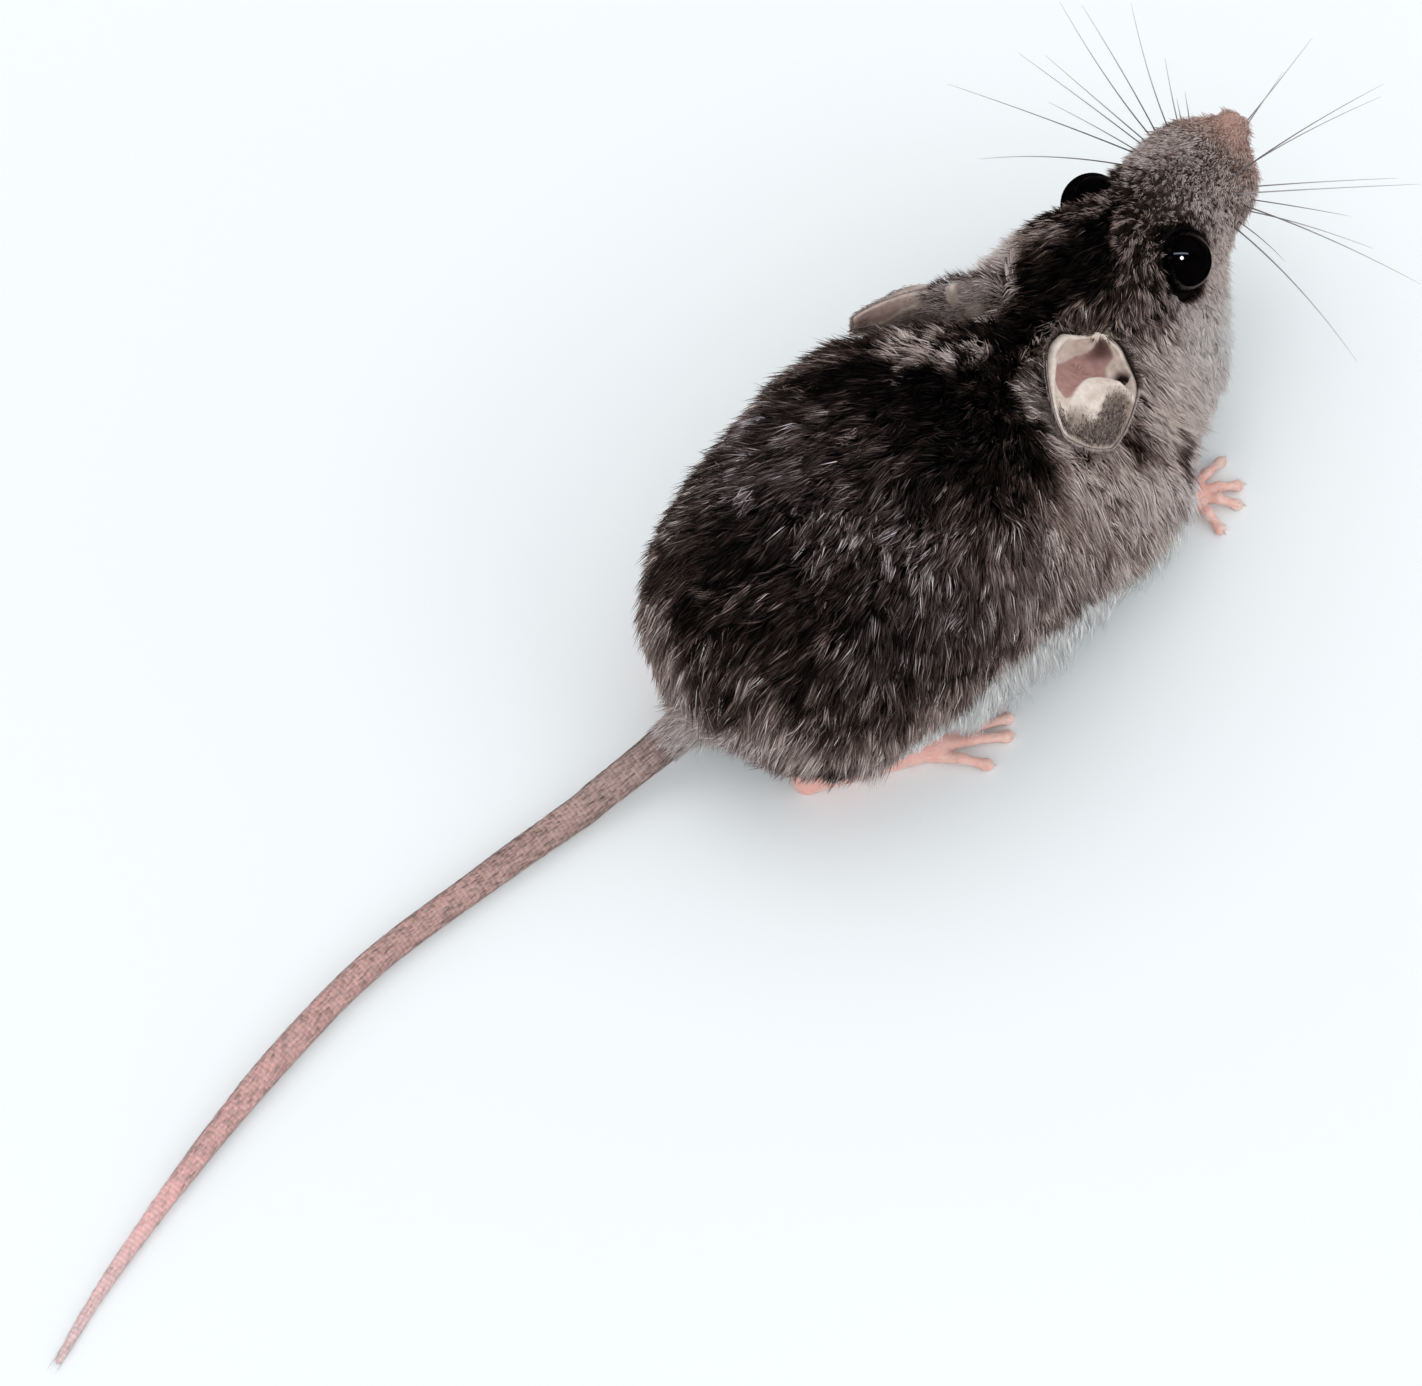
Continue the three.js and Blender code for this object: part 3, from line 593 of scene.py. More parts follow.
def mirrored(spec, mid):
    m = lambda q: [2 * mid - q[0], q[1], q[2]]
    return (m(spec[0]), m(spec[1]), *spec[2:5], [(m(t[0]), m(t[1]), *t[2:]) for t in spec[5]])


HIND = ([-9.4, 2.6, 1.35], [-15.0, 11.6, 1.15], 1.25, 1.6, 0.56, [
    ([-14.2, 12.3, 1.0], [-15.4, 15.8, 0.5], 0.50), ([-14.9, 12.6, 1.0], [-16.9, 18.2, 0.42]),
    ([-15.3, 12.6, 1.0], [-18.3, 17.9, 0.42]), ([-15.8, 12.2, 1.0], [-19.3, 16.6, 0.42]),
    ([-16.0, 11.2, 0.9], [-19.7, 13.5, 0.42], 0.52)])
FORE = ([-15.7, 42.3, 1.7], [-17.1, 44.6, 0.95], 1.1, 1.25, 0.48, [
    ([-16.8, 45.2, 0.8], [-17.0, 48.8, 0.38]), ([-17.5, 45.2, 0.8], [-19.5, 47.9, 0.38]),
    ([-17.8, 44.8, 0.8], [-20.6, 46.4, 0.38]), ([-17.8, 44.2, 0.8], [-20.9, 43.6, 0.38])])
FEET = {"hind_right": HIND, "hind_left": mirrored(HIND, -3.1), "fore_right": FORE, "fore_left": mirrored(FORE, -5.2)}
ANKLES = {
    "hind_right": rod([-9.4, 2.6, 1.5], [-10.2, 5.0, 4.2], 1.3, 2.2), "hind_left": rod([3.2, 2.6, 1.5], [4.0, 5.0, 4.2], 1.3, 2.2),
    "fore_right": rod([-15.7, 42.3, 1.7], [-14.6, 40.2, 4.0], 1.15, 1.8), "fore_left": rod([5.3, 42.3, 1.7], [4.2, 40.2, 4.0], 1.15, 1.8)}

foot_parts, all_claws, toe_hairs = [], [], []
for fname, spec in FEET.items():
    masses, claws, hairs = foot_masses(*spec)
    masses.append(ANKLES[fname])

    def foot_field(p, masses=masses):
        d = soft_all(masses, p, 0.42)
        return np.maximum(d, -p[..., 2])

    lo, hi = np.full(3, 1e9), np.full(3, -1e9)
    for m in masses:
        ends = ((m[1], m[3]), (m[2], m[4])) if m[0] == "rod" else ((m[1], m[2].max()),)
        for c, r in ends:
            lo, hi = np.minimum(lo, c - r - 0.5), np.maximum(hi, c + r + 0.5)
    lo[2] = -0.35
    foot_parts.append(surface_net(foot_field, lo, hi, 0.19))
    all_claws += claws
    toe_hairs += hairs

# tail: a tube with fine rings of scales, lying on the floor, flattened a little where it bears
TN, TM = (1040), 22
tail_c, tail_len = tail_points(TN)
tt = np.linspace(0, 1, TN)
td = unit(np.gradient(tail_c, axis=0))
tside = unit(np.cross(td, [0, 0, 1.0]))
tup = np.cross(tside, td)
tr = tail_radius(tt)
lift = np.where((tail_c[:, 2] < tr + 0.3) & (tt > 0.12), tr - FLOOR_FLAT - tail_c[:, 2], 0)
lift = np.convolve(np.pad(lift, 12, "edge"), np.ones(25) / 25, "valid")
tail_c = tail_c + np.stack([0 * lift, 0 * lift, lift], 1)
ring_pitch = 0.42
groove = 0.5 + 0.5 * np.cos(2 * np.pi * tt * tail_len / ring_pitch)
ang = np.arange(TM) / TM * 2 * np.pi
trad = (tr * 0.985 - 0.035 * (1 - groove) * np.clip(tr / 1.2, 0.3, 1))[:, None] * (1 + 0.012 * noise(np.stack([np.repeat(tt * tail_len, TM), np.tile(np.cos(ang) * 1.2, TN), np.tile(np.sin(ang) * 1.2, TN)], 1), 0.5, 21).reshape(TN, TM))
tv = tail_c[:, None] + tside[:, None] * (trad * np.cos(ang))[..., None] + tup[:, None] * (trad * np.sin(ang))[..., None]
tv[..., 2] = np.maximum(tv[..., 2], 0.0)
tail_pts = np.concatenate([tv.reshape(-1, 3), tail_c[:1], tail_c[-1:] + td[-1:] * tr[-1]])
i, j = np.meshgrid(np.arange(TN - 1), np.arange(TM), indexing="ij")
q0, q1 = (i * TM + j).ravel(), (i * TM + (j + 1) % TM).ravel()
tail_tris = np.concatenate([np.stack([q0, q1, q1 + TM], 1), np.stack([q0, q1 + TM, q0 + TM], 1)])
jj = np.arange(TM)
e0 = (TN - 1) * TM
tail_tris = np.concatenate([tail_tris, np.stack([np.full(TM, TN * TM), (jj + 1) % TM, jj], 1), np.stack([np.full(TM, TN * TM + 1), e0 + jj, e0 + (jj + 1) % TM], 1)])
tail_attr = np.zeros((len(tail_pts), 4))
tail_attr[:-2, 0] = np.repeat(tt, TM)
tail_attr[:-2, 1] = np.tile(0.5 + 0.5 * np.sin(ang), TN)          # 1 on the back of the tail, 0 underneath
# how deep in a groove between the rings; the tail's colour darkens there as painted shade
tail_attr[:-2, 2] = np.repeat(1 - groove, TM)
tail_attr[:-2, 3] = np.tile(0.5 + 0.5 * np.cos(ang), TN)
tail_attr[-1, 0] = 1


# ears
EAR_SPAN = {"right": (-1.0, 0.80), "left": (-1.0, 0.5)}
EAR_ROOT = -0.16
EAR_END = {"right": 0.928, "left": 0.965}


def ear_reach(side, s, w):
    """place across the leaf for w from 0 to 1; the left ear's front margin is folded in towards its tip"""
    lo, hi = EAR_SPAN[side]
    if side == "left":
        hi = hi + 0.20 * smooth(0.02, 0.2, s) * (1 - smooth(0.30, 0.52, s))
    return lo + (hi - lo) * w


def fold_edge(v):
    return 0.475 + 0.42 * np.maximum(0, 0.24 - v) ** 2 + 0.40 * np.maximum(0, v - 0.24) ** 2


def ear_half(s):
    """half the width of the leaf laid flat, the angle it curls through and the bow of its middle"""
    c = np.sin(np.pi * np.clip(0.17 + 0.83 * s, 0.02, 0.995))
    hw = EAR_HALF_WIDTH * c ** (0.62 - 0.17 * smooth(0.55, 0.9, s))
    A = 0.75 + 1.2 * np.maximum(1 - s, 0) ** 1.4
    bow = -1.3 * np.exp(-(((s - 0.3) / 0.2) ** 2)) - 2.0 * s * s
    return hw, A, bow


def ear_narrow(s, side):
    """how far the leaf draws in towards its root"""
    if side == "left":
        return 0.45 + 0.55 * smooth(-0.10, 0.17, s)
    return np.maximum(np.clip(1 - (np.maximum(0.46 - s, 0) / 0.385) ** 2.3, 0, 1) ** 0.5, 0.36)


def ear_across(s, v, side):
    """where v lies across the leaf once it has drawn in; the right ear's root lies towards its front"""
    c = 0.34 if side == "right" else 0.0
    return c + (v - c) * ear_narrow(s, side)


def ear_middle(s, v, side):
    hw, A, bow = ear_half(s)
    R = hw / A
    v = ear_across(s, v, side)
    x = R * np.sin(v * A)
    y = R * (1 - np.cos(v * A)) + bow
    if side == "right":                             # the hind half lies flatter and bulges
        k = smooth(0.0, 1.0, -v)
        x = x - 0.32 * k * smooth(0.14, 0.40, s) * (1 - 0.5 * smooth(0.8, 1.0, s))
        y = y - 1.0 * k * smooth(0.17, 0.40, s) * (1 - 0.8 * smooth(0.55, 0.85, s))
    return np.stack([x, y, EAR_LENGTH * s], -1)


def ear_normal(s, v, side):
    e = 0.01
    a = ear_middle(s + e, v, side) - ear_middle(s - e, v, side)
    b = ear_middle(s, v + e, side) - ear_middle(s, v - e, side)
    return unit(np.cross(a, b))                     # towards the hollow


def ear_relief(s, v, side):
    """how the inner face stands off the leaf: rolled rim, hollow, the fold across it and the canal"""
    edge = fold_edge(v)
    top = EAR_SPAN[side][1]
    far = np.minimum(v + 1, top - v)
    d = 0.30 * np.exp(-((far / 0.10) ** 2)) * (1 - smooth(0.55, 0.85, s)) * smooth(0.05, 0.15, s)
    d = d + 0.30 * np.exp(-(((v + 0.86) / 0.13) ** 2)) * (1 - smooth(0.50, 0.70, s)) * smooth(0.10, 0.20, s)
    rise = np.where(s < edge, np.exp(-(((s - edge) / 0.026) ** 2)), np.exp(-(((s - edge) / 0.24) ** 2)))
    d = d + 1.15 * rise * smooth(-0.70, -0.20, v) * (1 - smooth(0.55, 0.85, v))
    d = d + 0.45 * np.exp(-(((v - 0.60) / 0.12) ** 2)) * smooth(0.20, 0.28, s) * (1 - smooth(0.36, 0.46, s))
    d = d - 1.2 * np.exp(-(((v - 0.56) / 0.16) ** 2 + ((s - 0.385) / 0.042) ** 2))
    d = d - 0.45 * np.exp(-(((v + 0.1) / 0.40) ** 2 + ((s - 0.26) / 0.08) ** 2))
    arch = 2.5 if side == "right" else 0.4
    return d + arch * np.exp(-((np.maximum(s - 0.135, (0.135 - s) * 0.8) / 0.036) ** 2)) * np.where(v > 0, 0.86 * (1 - smooth(0.55, 1.05, v)) + 0.14 * smooth(0.5, 0.0, v), 1 - smooth(0.78, 1.02, -v))


ear_parts = {}
ES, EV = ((110, 84))
for side, (o, B) in EARS.items():
    s1 = EAR_ROOT + (EAR_END[side] - EAR_ROOT) * np.linspace(0, 1, ES) ** 0.92
    S, U = (x.ravel() for x in np.meshgrid(s1, np.linspace(0, 1, EV), indexing="ij"))
    V = ear_reach(side, S, U)
    # where the leaf thins out at its edges
    v_edge = 2 * np.minimum(U, 1 - U)
    th = 0.21 * np.sqrt(np.clip(smooth(-0.01, 0.07, v_edge), 0.06, 1)) * np.sqrt(np.clip(1 - smooth(-0.045, 0.007, S - EAR_END[side]), 0.06, 1))
    mid, nn = ear_middle(S, V, side), ear_normal(S, V, side)
    wob = 0.12 * noise(np.stack([S * 14, V * 5, 0 * S], 1), 2.2, 13 if side == "right" else 17)
    inner = mid + nn * (th + wob + ear_relief(S, V, side))[:, None]
    outer = mid + nn * (-th + wob + np.minimum(ear_relief(S, V, side), 0) - 0.02)[:, None]
    pts = np.concatenate([o + inner @ B.T, o + outer @ B.T])
    i, j = np.meshgrid(np.arange(ES - 1), np.arange(EV - 1), indexing="ij")
    q = (i * EV + j).ravel()
    N = ES * EV
    tri = [np.stack([q, q + 1, q + EV + 1], 1), np.stack([q, q + EV + 1, q + EV], 1),
           np.stack([N + q, N + q + EV + 1, N + q + 1], 1), np.stack([N + q, N + q + EV, N + q + EV + 1], 1)]

    def strip(r):
        x, y = r[:-1], r[1:]
        return [np.stack([x, N + x, N + y], 1), np.stack([x, N + y, y], 1)]

    tri += strip(np.arange(EV)) + strip((ES - 1) * EV + np.arange(EV)[::-1])
    tri += strip(np.arange(ES)[::-1] * EV) + strip(np.arange(ES) * EV + EV - 1)
    tri = np.concatenate(tri)
    c = pts.mean(0)
    vol = np.einsum("ij,ij->", np.cross(pts[tri[:, 0]] - c, pts[tri[:, 1]] - c), pts[tri[:, 2]] - c)
    if vol < 0:
        tri = tri[:, ::-1]
    ear_parts[side] = (pts, tri, np.concatenate([S, S]), np.concatenate([V, V]), np.repeat([1.0, 0.0], N), mid, nn)


def lobe_line(a):
    """how far up the leaf the smooth pale part of the lobe reaches before the haired part begins"""
    return np.interp(a, [-0.95, -0.75, 0.10, 0.20, 0.28, 0.45, 0.70, 0.80], [0.84, 0.80, 0.775, 0.70, 0.625, 0.595, 0.60, 0.62])


def ear_attrs(S, V, inner, side):
    """weights for the ear's colours: pale (partly painted highlight on the fold and the lobe), mauve, dark (painted
    shade deep in the hollow and in the canal), and haired grey-brown
    """
    edge = fold_edge(V)
    n1 = noise(np.stack([S * 14, V * 5, inner], 1), 1.2, 31)
    past = S - edge + 0.006 * n1
    A = ear_across(S, V, side)
    over = smooth(-0.006, 0.004, past)
    outside = 1 - smooth(0.085, 0.105, S + 0.006 * n1)
    # the bare hollow: from the root's arch down the rim to the fold
    top = np.interp(A, [-0.95, -0.85, -0.62, -0.15, 0.20, 0.60], [0.60, 0.52, 0.385, 0.205, 0.145, 0.150])
    left = np.interp(S, [0.45, 0.58, 0.64, 0.70], [-0.95, -0.90, -0.75, -0.42])
    right = np.interp(S, [0.17, 0.21, 0.26, 0.33, 0.38, 0.42], [0.54, 0.52, 0.38, 0.36, 0.50, 0.60])
    hollow = smooth(-0.010, 0.012, S - top + 0.010 * n1) * smooth(-0.03, 0.03, A - left + 0.02 * n1) * (1 - smooth(-0.05, 0.05, A - right + 0.03 * n1))
    mauve = hollow * (1 - over) * (1 - outside)
    # painted shade: dark deep in the hollow under the root's arch, and near black in the canal's opening
    deep = mauve * np.exp(-(((A - 0.30) / 0.34) ** 2 + ((S - 0.165) / 0.050) ** 2))
    canal = (1 - over) * np.exp(-(np.clip(((A - 0.56) / 0.16) ** 2 + ((S - 0.385) / 0.045) ** 2, 0, 9)) ** 1.5)
    # the lobe below the fold: smooth and cream on its upper left, grey-brown and haired towards its end; the cream band
    # along the fold's crest and the cream of the upper left are partly pale skin and partly painted highlight
    band = over * (1 - smooth(0.015, 0.065, past))
    bald = over * (1 - smooth(-0.070, 0.050, S - lobe_line(A) + 0.02 * n1))
    rim = (1 - over) * (1 - hollow) * (0.95 - 0.45 * smooth(0.45, 0.60, A) * smooth(0.2, 0.3, S))
    rim_l = (1 - smooth(-0.84, -0.74, V)) * (1 - smooth(0.60, 0.80, S))
    margin = 0.5 * smooth(-0.030, -0.010, S - EAR_END[side])
    pale = np.clip(np.maximum.reduce([band, bald, rim, 0.9 * rim_l * (1 - mauve), margin]) * (1 - outside), 0, 1)
    dark = np.clip(0.85 * deep + 1.6 * canal, 0, 1)
    haired = 1 - np.clip(pale + mauve, 0, 1)
    # the back of the leaf: taupe, paler and pinker near the root, pale along the margin
    if side == "left":
        lens = smooth(0.53, 0.60, S - 0.12 * V) * smooth(-0.06, 0.02, V - 0.35 * smooth(0.9, 0.6, S) + 0.12)
        b_pale = 0.30 + 0.12 * around(S, 0.33, 0.16) * around(V, -0.75, 0.5) + 0.08 * around(S, 0.15, 0.18) + 0.25 * n1
        b_pale = b_pale - 0.35 * around(V - 0.1 * S, 0.02, 0.16) * smooth(0.2, 0.35, S) + 0.5 * smooth(0.92, 0.97, S) + 0.15 * lens * smooth(0.40, 0.48, V) + 0.65 * around(V - 0.35 * smooth(0.9, 0.6, S) + 0.12, 0, 0.05) * smooth(0.50, 0.62, S)
        b_mauve = 0.10 + 0.45 * lens
    else:
        b_pale = 0.30 + 0.22 * n1 + 0.30 * smooth(0.88, 0.92, S)
        b_mauve = 0.2 + 0 * S
    back = inner < 0.5
    b_pale, b_mauve = np.clip(b_pale, 0, 1), np.clip(b_mauve, 0, 1)
    return np.stack([np.where(back, b_pale, pale), np.where(back, b_mauve, mauve), np.where(back, 0.0, dark), np.where(back, 1.0, haired)], 1)


# one skin: body, feet, tail and ears in a single mesh
parts, tris_all, mats_all, off = [], [], [], 0
attr_a, attr_b = [], []
sn = normals_of(skin_pts)
tone, white, pink, lilac = markings(skin_pts, sn)
hl_, hf_, hu_ = to_head(skin_pts)
lidmask = np.zeros(len(skin_pts))
for side in ("right", "left"):
    v = skin_pts - EYES[side]
    r = np.linalg.norm(v, axis=1)
    lidmask = np.maximum(lidmask, (1 - smooth(EYE_RADIUS + 1.15, EYE_RADIUS + 1.70, r)) * smooth(0.0, 0.6, v @ EYE_AXIS[side]))
groups = [(skin_pts, skin_tris, 0, np.stack([np.sqrt(np.clip(tone, 0, 1)), white, pink, lidmask], 1))]
for (p_, t_) in foot_parts:
    groups.append((p_, t_, 1, np.stack([smooth(0, 2.5, p_[:, 2]), 0 * p_[:, 0], 0 * p_[:, 0], 0 * p_[:, 0]], 1)))
groups.append((tail_pts, tail_tris, 2, tail_attr))
for side, (p_, t_, S, V, inner, _, _) in ear_parts.items():
    groups.append((p_, t_, 3, ear_attrs(S, V, inner, side)))
for p_, t_, mi, at in groups:
    parts.append(p_)
    tris_all.append(t_ + off)
    mats_all.append(np.full(len(t_), mi))
    attr_a.append(at)
    off += len(p_)

# ------------------------------------------------------------------ materials
TINT = [(0.0, (0, 0, 0)), (0.07, (1, 0.66, 0.53)), (0.16, (1, 0.65, 0.53)), (0.30, (1, 0.66, 0.55)), (0.45, (1, 0.69, 0.59)), (0.62, (1, 0.75, 0.66)), (0.8, (1, 0.81, 0.74)), (1.0, (1, 0.90, 0.85))]
COAT_STOPS = [(x, tuple(c * x * x for c in col)) for x, col in TINT]

hide = Nodes("hide", Roughness=0.5, Specular_IOR_Level=0.12)
R, G, Bc, A = hide.attr("mark")
c = hide.ramp(hide.math("MULTIPLY", R, 0.75), COAT_STOPS)
c = hide.mix(G, c, c4(0.72, 0.69, 0.67))
n = hide.ramp(hide.noise(2600, 3), [(0.3, (0.42, 0.25, 0.21)), (0.7, (0.60, 0.37, 0.31))])
c = hide.mix(Bc, c, n)
c = hide.mix(A, c, c4(0.006, 0.005, 0.005))
hide.colour(c)
hide.bump(hide.noise(3500, 3), 0.5, 0.00015)

foot = Nodes("foot_skin", Roughness=0.45, Specular_IOR_Level=0.35, Subsurface_Weight=0.25, Subsurface_Scale=0.0006)
foot.bsdf.inputs["Subsurface Radius"].default_value = (1.0, 0.35, 0.25)
R, G, Bc, A = foot.attr("mark")
c = foot.ramp(foot.noise(900, 3), [(0.3, (0.89, 0.48, 0.40)), (0.5, (0.95, 0.66, 0.57)), (0.72, (0.97, 0.82, 0.75))])
c = foot.mix(foot.math("MULTIPLY", R, 0.8), c, c4(0.92, 0.46, 0.40))
wr = foot.noise(5200, 2)
foot.colour(foot.mix(foot.math("MULTIPLY", foot.ramp(wr, [(0.45, (0, 0, 0)), (0.75, (1, 1, 1))]), 0.22), c, c4(0.78, 0.34, 0.28)))
foot.bump(wr, 0.6, 0.00012)

tail = Nodes("tail_skin", Roughness=0.6, Specular_IOR_Level=0.25)
R, G, Bc, A = tail.attr("mark")                     # along, back-or-underside, groove, side
n = tail.noise(2200, 3)
top = tail.ramp(R, [(0.0, (0.42, 0.33, 0.30)), (0.10, (0.50, 0.365, 0.335)), (0.3, (0.60, 0.385, 0.35)), (0.55, (0.72, 0.42, 0.39)), (0.8, (0.93, 0.53, 0.51)), (1.0, (0.97, 0.70, 0.70))])
top = tail.mix(tail.ramp(n, [(0.35, (0, 0, 0)), (0.7, (1, 1, 1))]), tail.mix(0.20, top, c4(0.24, 0.15, 0.14)), top)
under = tail.ramp(R, [(0.0, (0.62, 0.55, 0.51)), (0.6, (0.80, 0.70, 0.64)), (1.0, (0.85, 0.64, 0.58))])
edge = tail.math("ADD", G, tail.math("MULTIPLY", tail.math("SUBTRACT", tail.noise(700, 3), 0.5), 0.35))
c = tail.mix(tail.ramp(edge, [(0.30, (0, 0, 0)), (0.44, (1, 1, 1))]), under, top)
# painted shade: darker in the grooves between the rings of scales
c = tail.mix(tail.math("MULTIPLY", Bc, 0.22), c, c4(0.24, 0.14, 0.125))
tail.colour(c)
tail.bump(n, 0.5, 0.0001)

ear = Nodes("ear_skin", Roughness=0.55, Specular_IOR_Level=0.25, Subsurface_Weight=0.12, Subsurface_Scale=0.0004)
ear.bsdf.inputs["Subsurface Radius"].default_value = (1.0, 0.4, 0.3)
R, G, Bc, A = ear.attr("mark")                      # pale, mauve, dark, haired
n = ear.noise(1500, 4)
base = ear.ramp(n, [(0.3, (0.235, 0.185, 0.150)), (0.7, (0.37, 0.295, 0.245))])
c = ear.mix(G, base, ear.ramp(n, [(0.3, (0.40, 0.225, 0.205)), (0.7, (0.56, 0.335, 0.305))]))
# pale: the pale skin of the rims, and on the fold's crest and the lobe's upper left partly painted highlight
c = ear.mix(R, c, ear.ramp(n, [(0.3, (0.64, 0.53, 0.46)), (0.7, (0.84, 0.75, 0.68))]))
# painted shade: near black deep in the hollow and in the canal
c = ear.mix(Bc, c, c4(0.016, 0.005, 0.005))
ear.colour(c)
ear.bump(ear.noise(4200, 2), 0.35, 0.0001)

skin = mesh_object("skin", np.concatenate(parts), np.concatenate(tris_all), {"mark": np.concatenate(attr_a)},
                   materials=(hide.m, foot.m, tail.m, ear.m), index=np.concatenate(mats_all))
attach(skin, "root")
FLESH = ["head", "neck", "trunk", "hindleg_right", "hindleg_left", "foreleg_right", "foreleg_left",
         "hindfoot_right", "hindfoot_left", "forefoot_right", "forefoot_left",
         "tail_1", "tail_2", "tail_3", "tail_4", "ear_right", "ear_left"]
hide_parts(*FLESH)


# ------------------------------------------------------------------ eyes
def eye_mesh(side):
    """a ball whose cornea stands a little proud towards the way it looks"""
    nu, nv = 64, 48
    th = np.linspace(0, np.pi, nv + 1)[1:-1]
    ph = np.arange(nu) / nu * 2 * np.pi
    T, F = np.meshgrid(th, ph, indexing="ij")
    d = np.stack([np.sin(T) * np.cos(F), np.sin(T) * np.sin(F), np.cos(T)], -1).reshape(-1, 3)
    d = np.concatenate([d, [[0, 0, 1.0], [0, 0, -1.0]]])
    r = EYE_RADIUS * (0.985 + 0.02 * np.exp(-(((1 - d[:, 2]) / 0.35) ** 2)))
    z = EYE_AXIS[side]
    x = unit(np.cross([0, 0, 1.0], z))
    B = np.stack([x, np.cross(z, x), z], 1)
    pts = EYES[side] + (d * r[:, None]) @ B.T
    i, j = np.meshgrid(np.arange(nv - 2), np.arange(nu), indexing="ij")
    q0, q1 = (i * nu + j).ravel(), (i * nu + (j + 1) % nu).ravel()
    t = [np.stack([q0, q0 + nu, q1 + nu], 1), np.stack([q0, q1 + nu, q1], 1)]
    jj = np.arange(nu)
    m = (nv - 1) * nu
    t += [np.stack([np.full(nu, m), jj, (jj + 1) % nu], 1), np.stack([np.full(nu, m + 1), m - nu + (jj + 1) % nu, m - nu + jj], 1)]
    return pts, np.concatenate(t)


eye_m = Nodes("eye", Roughness=0.03, Specular_IOR_Level=0.5)
n = eye_m.noise(900, 2)
eye_m.colour(eye_m.ramp(n, [(0.3, (0.0008, 0.0008, 0.0010)), (0.8, (0.003, 0.002, 0.002))]))
for side in ("right", "left"):
    pts, tri = eye_mesh(side)
    ob = mesh_object("eyeball_" + side, pts, tri, materials=(eye_m.m,))
    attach(ob, "root")
    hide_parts("eye_" + side)


# ------------------------------------------------------------------ hairs as closed spindles
def spindles(root, mid, tip, width, turn):
    """each hair lock: a root point, a ring of three at its widest and a tip, six faces"""
    n = len(root)
    d = unit(tip - root)
    x = unit(np.cross(d, np.where(np.abs(d[:, 2:]) < 0.9, [[0, 0, 1.0]], [[1.0, 0, 0]])))
    y = np.cross(d, x)
    pts = np.empty((n, 5, 3))
    pts[:, 0], pts[:, 4] = root, tip
    for k in range(3):
        a = turn + k * 2 * np.pi / 3
        pts[:, k + 1] = mid + (x * np.cos(a)[:, None] + y * np.sin(a)[:, None]) * (width / 2)[:, None]
    base = np.arange(n)[:, None] * 5
    t = np.array([[0, 2, 1], [0, 3, 2], [0, 1, 3], [4, 1, 2], [4, 2, 3], [4, 3, 1]])
    tri = (base[:, :, None] + t[None]).reshape(-1, 3)
    return pts.reshape(-1, 3), tri


PATCH = np.array([[0, -0.0015], [-0.0013, -0.0002], [0, 0], [0.0013, -0.0002], [0, 0.0015]])


def root_map(a, b):
    """a place on a square for each root, keeping the order round (a) and along (b) the body"""
    n = len(a)
    rows = max(1, int(math.sqrt(n)))
    order = np.argsort(b, kind="stable")
    row = np.empty(n, int)
    row[order] = np.arange(n) * rows // n
    u, v = np.empty(n), (row + 0.5) / rows
    by = np.lexsort((a, row))
    start = np.searchsorted(row[by], np.arange(rows))
    stop = np.append(start[1:], n)
    within = np.arange(n) - start[row[by]]
    u[by] = (within + 0.5) / np.maximum(stop - start, 1)[row[by]]
    return np.stack([u, v], 1)


def hair_object(name, root, mid, tip, width, attrs, mat, place):
    n = len(root)
    pts, tri = spindles(root, mid, tip, width, rng.uniform(0, 6.28, n))
    along = np.tile([0.0, 0.5, 0.5, 0.5, 1.0], n)
    at = np.repeat(attrs, 5, axis=0)
    other = np.stack([along, np.repeat(rng.uniform(0, 1, n), 5), 0 * along, 1 + 0 * along], 1)
    uv = (np.repeat(root_map(*place), 5, axis=0).reshape(n, 5, 2) + PATCH).reshape(-1, 2)
    ob = mesh_object(name, pts, tri, {"mark": at, "strand": other}, uv=uv, materials=(mat,))
    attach(ob, "root")
    return ob


fur = Nodes("fur", Roughness=0.65, Specular_IOR_Level=0.05)
R, G, Bc, A = fur.attr("mark")                      # tone, white, pink, lilac
S0, S1, _, _ = fur.attr("strand")
tipc = fur.ramp(R, COAT_STOPS)
tipc = fur.mix(fur.math("MULTIPLY", A, 0.7, True), tipc, fur.mix(1.0, tipc, c4(0.88, 0.95, 1.14), "MULTIPLY"))
tipc = fur.mix(Bc, tipc, fur.mix(S1, c4(0.62, 0.38, 0.32), c4(0.82, 0.64, 0.57)))
tipc = fur.mix(G, tipc, fur.mix(S1, c4(0.80, 0.795, 0.785), c4(0.95, 0.945, 0.935)))
rootc = fur.mix(0.72, tipc, c4(0.006, 0.005, 0.005))
rootc = fur.mix(G, rootc, c4(0.66, 0.65, 0.64))
rootc = fur.mix(Bc, rootc, c4(0.50, 0.29, 0.24))
grade = fur.ramp(S0, [(0.12, (0, 0, 0)), (0.62, (1, 1, 1))])
fur.colour(fur.mix(grade, rootc, tipc))
fur.bump(fur.noise(9000, 1), 0.2, 0.00005)


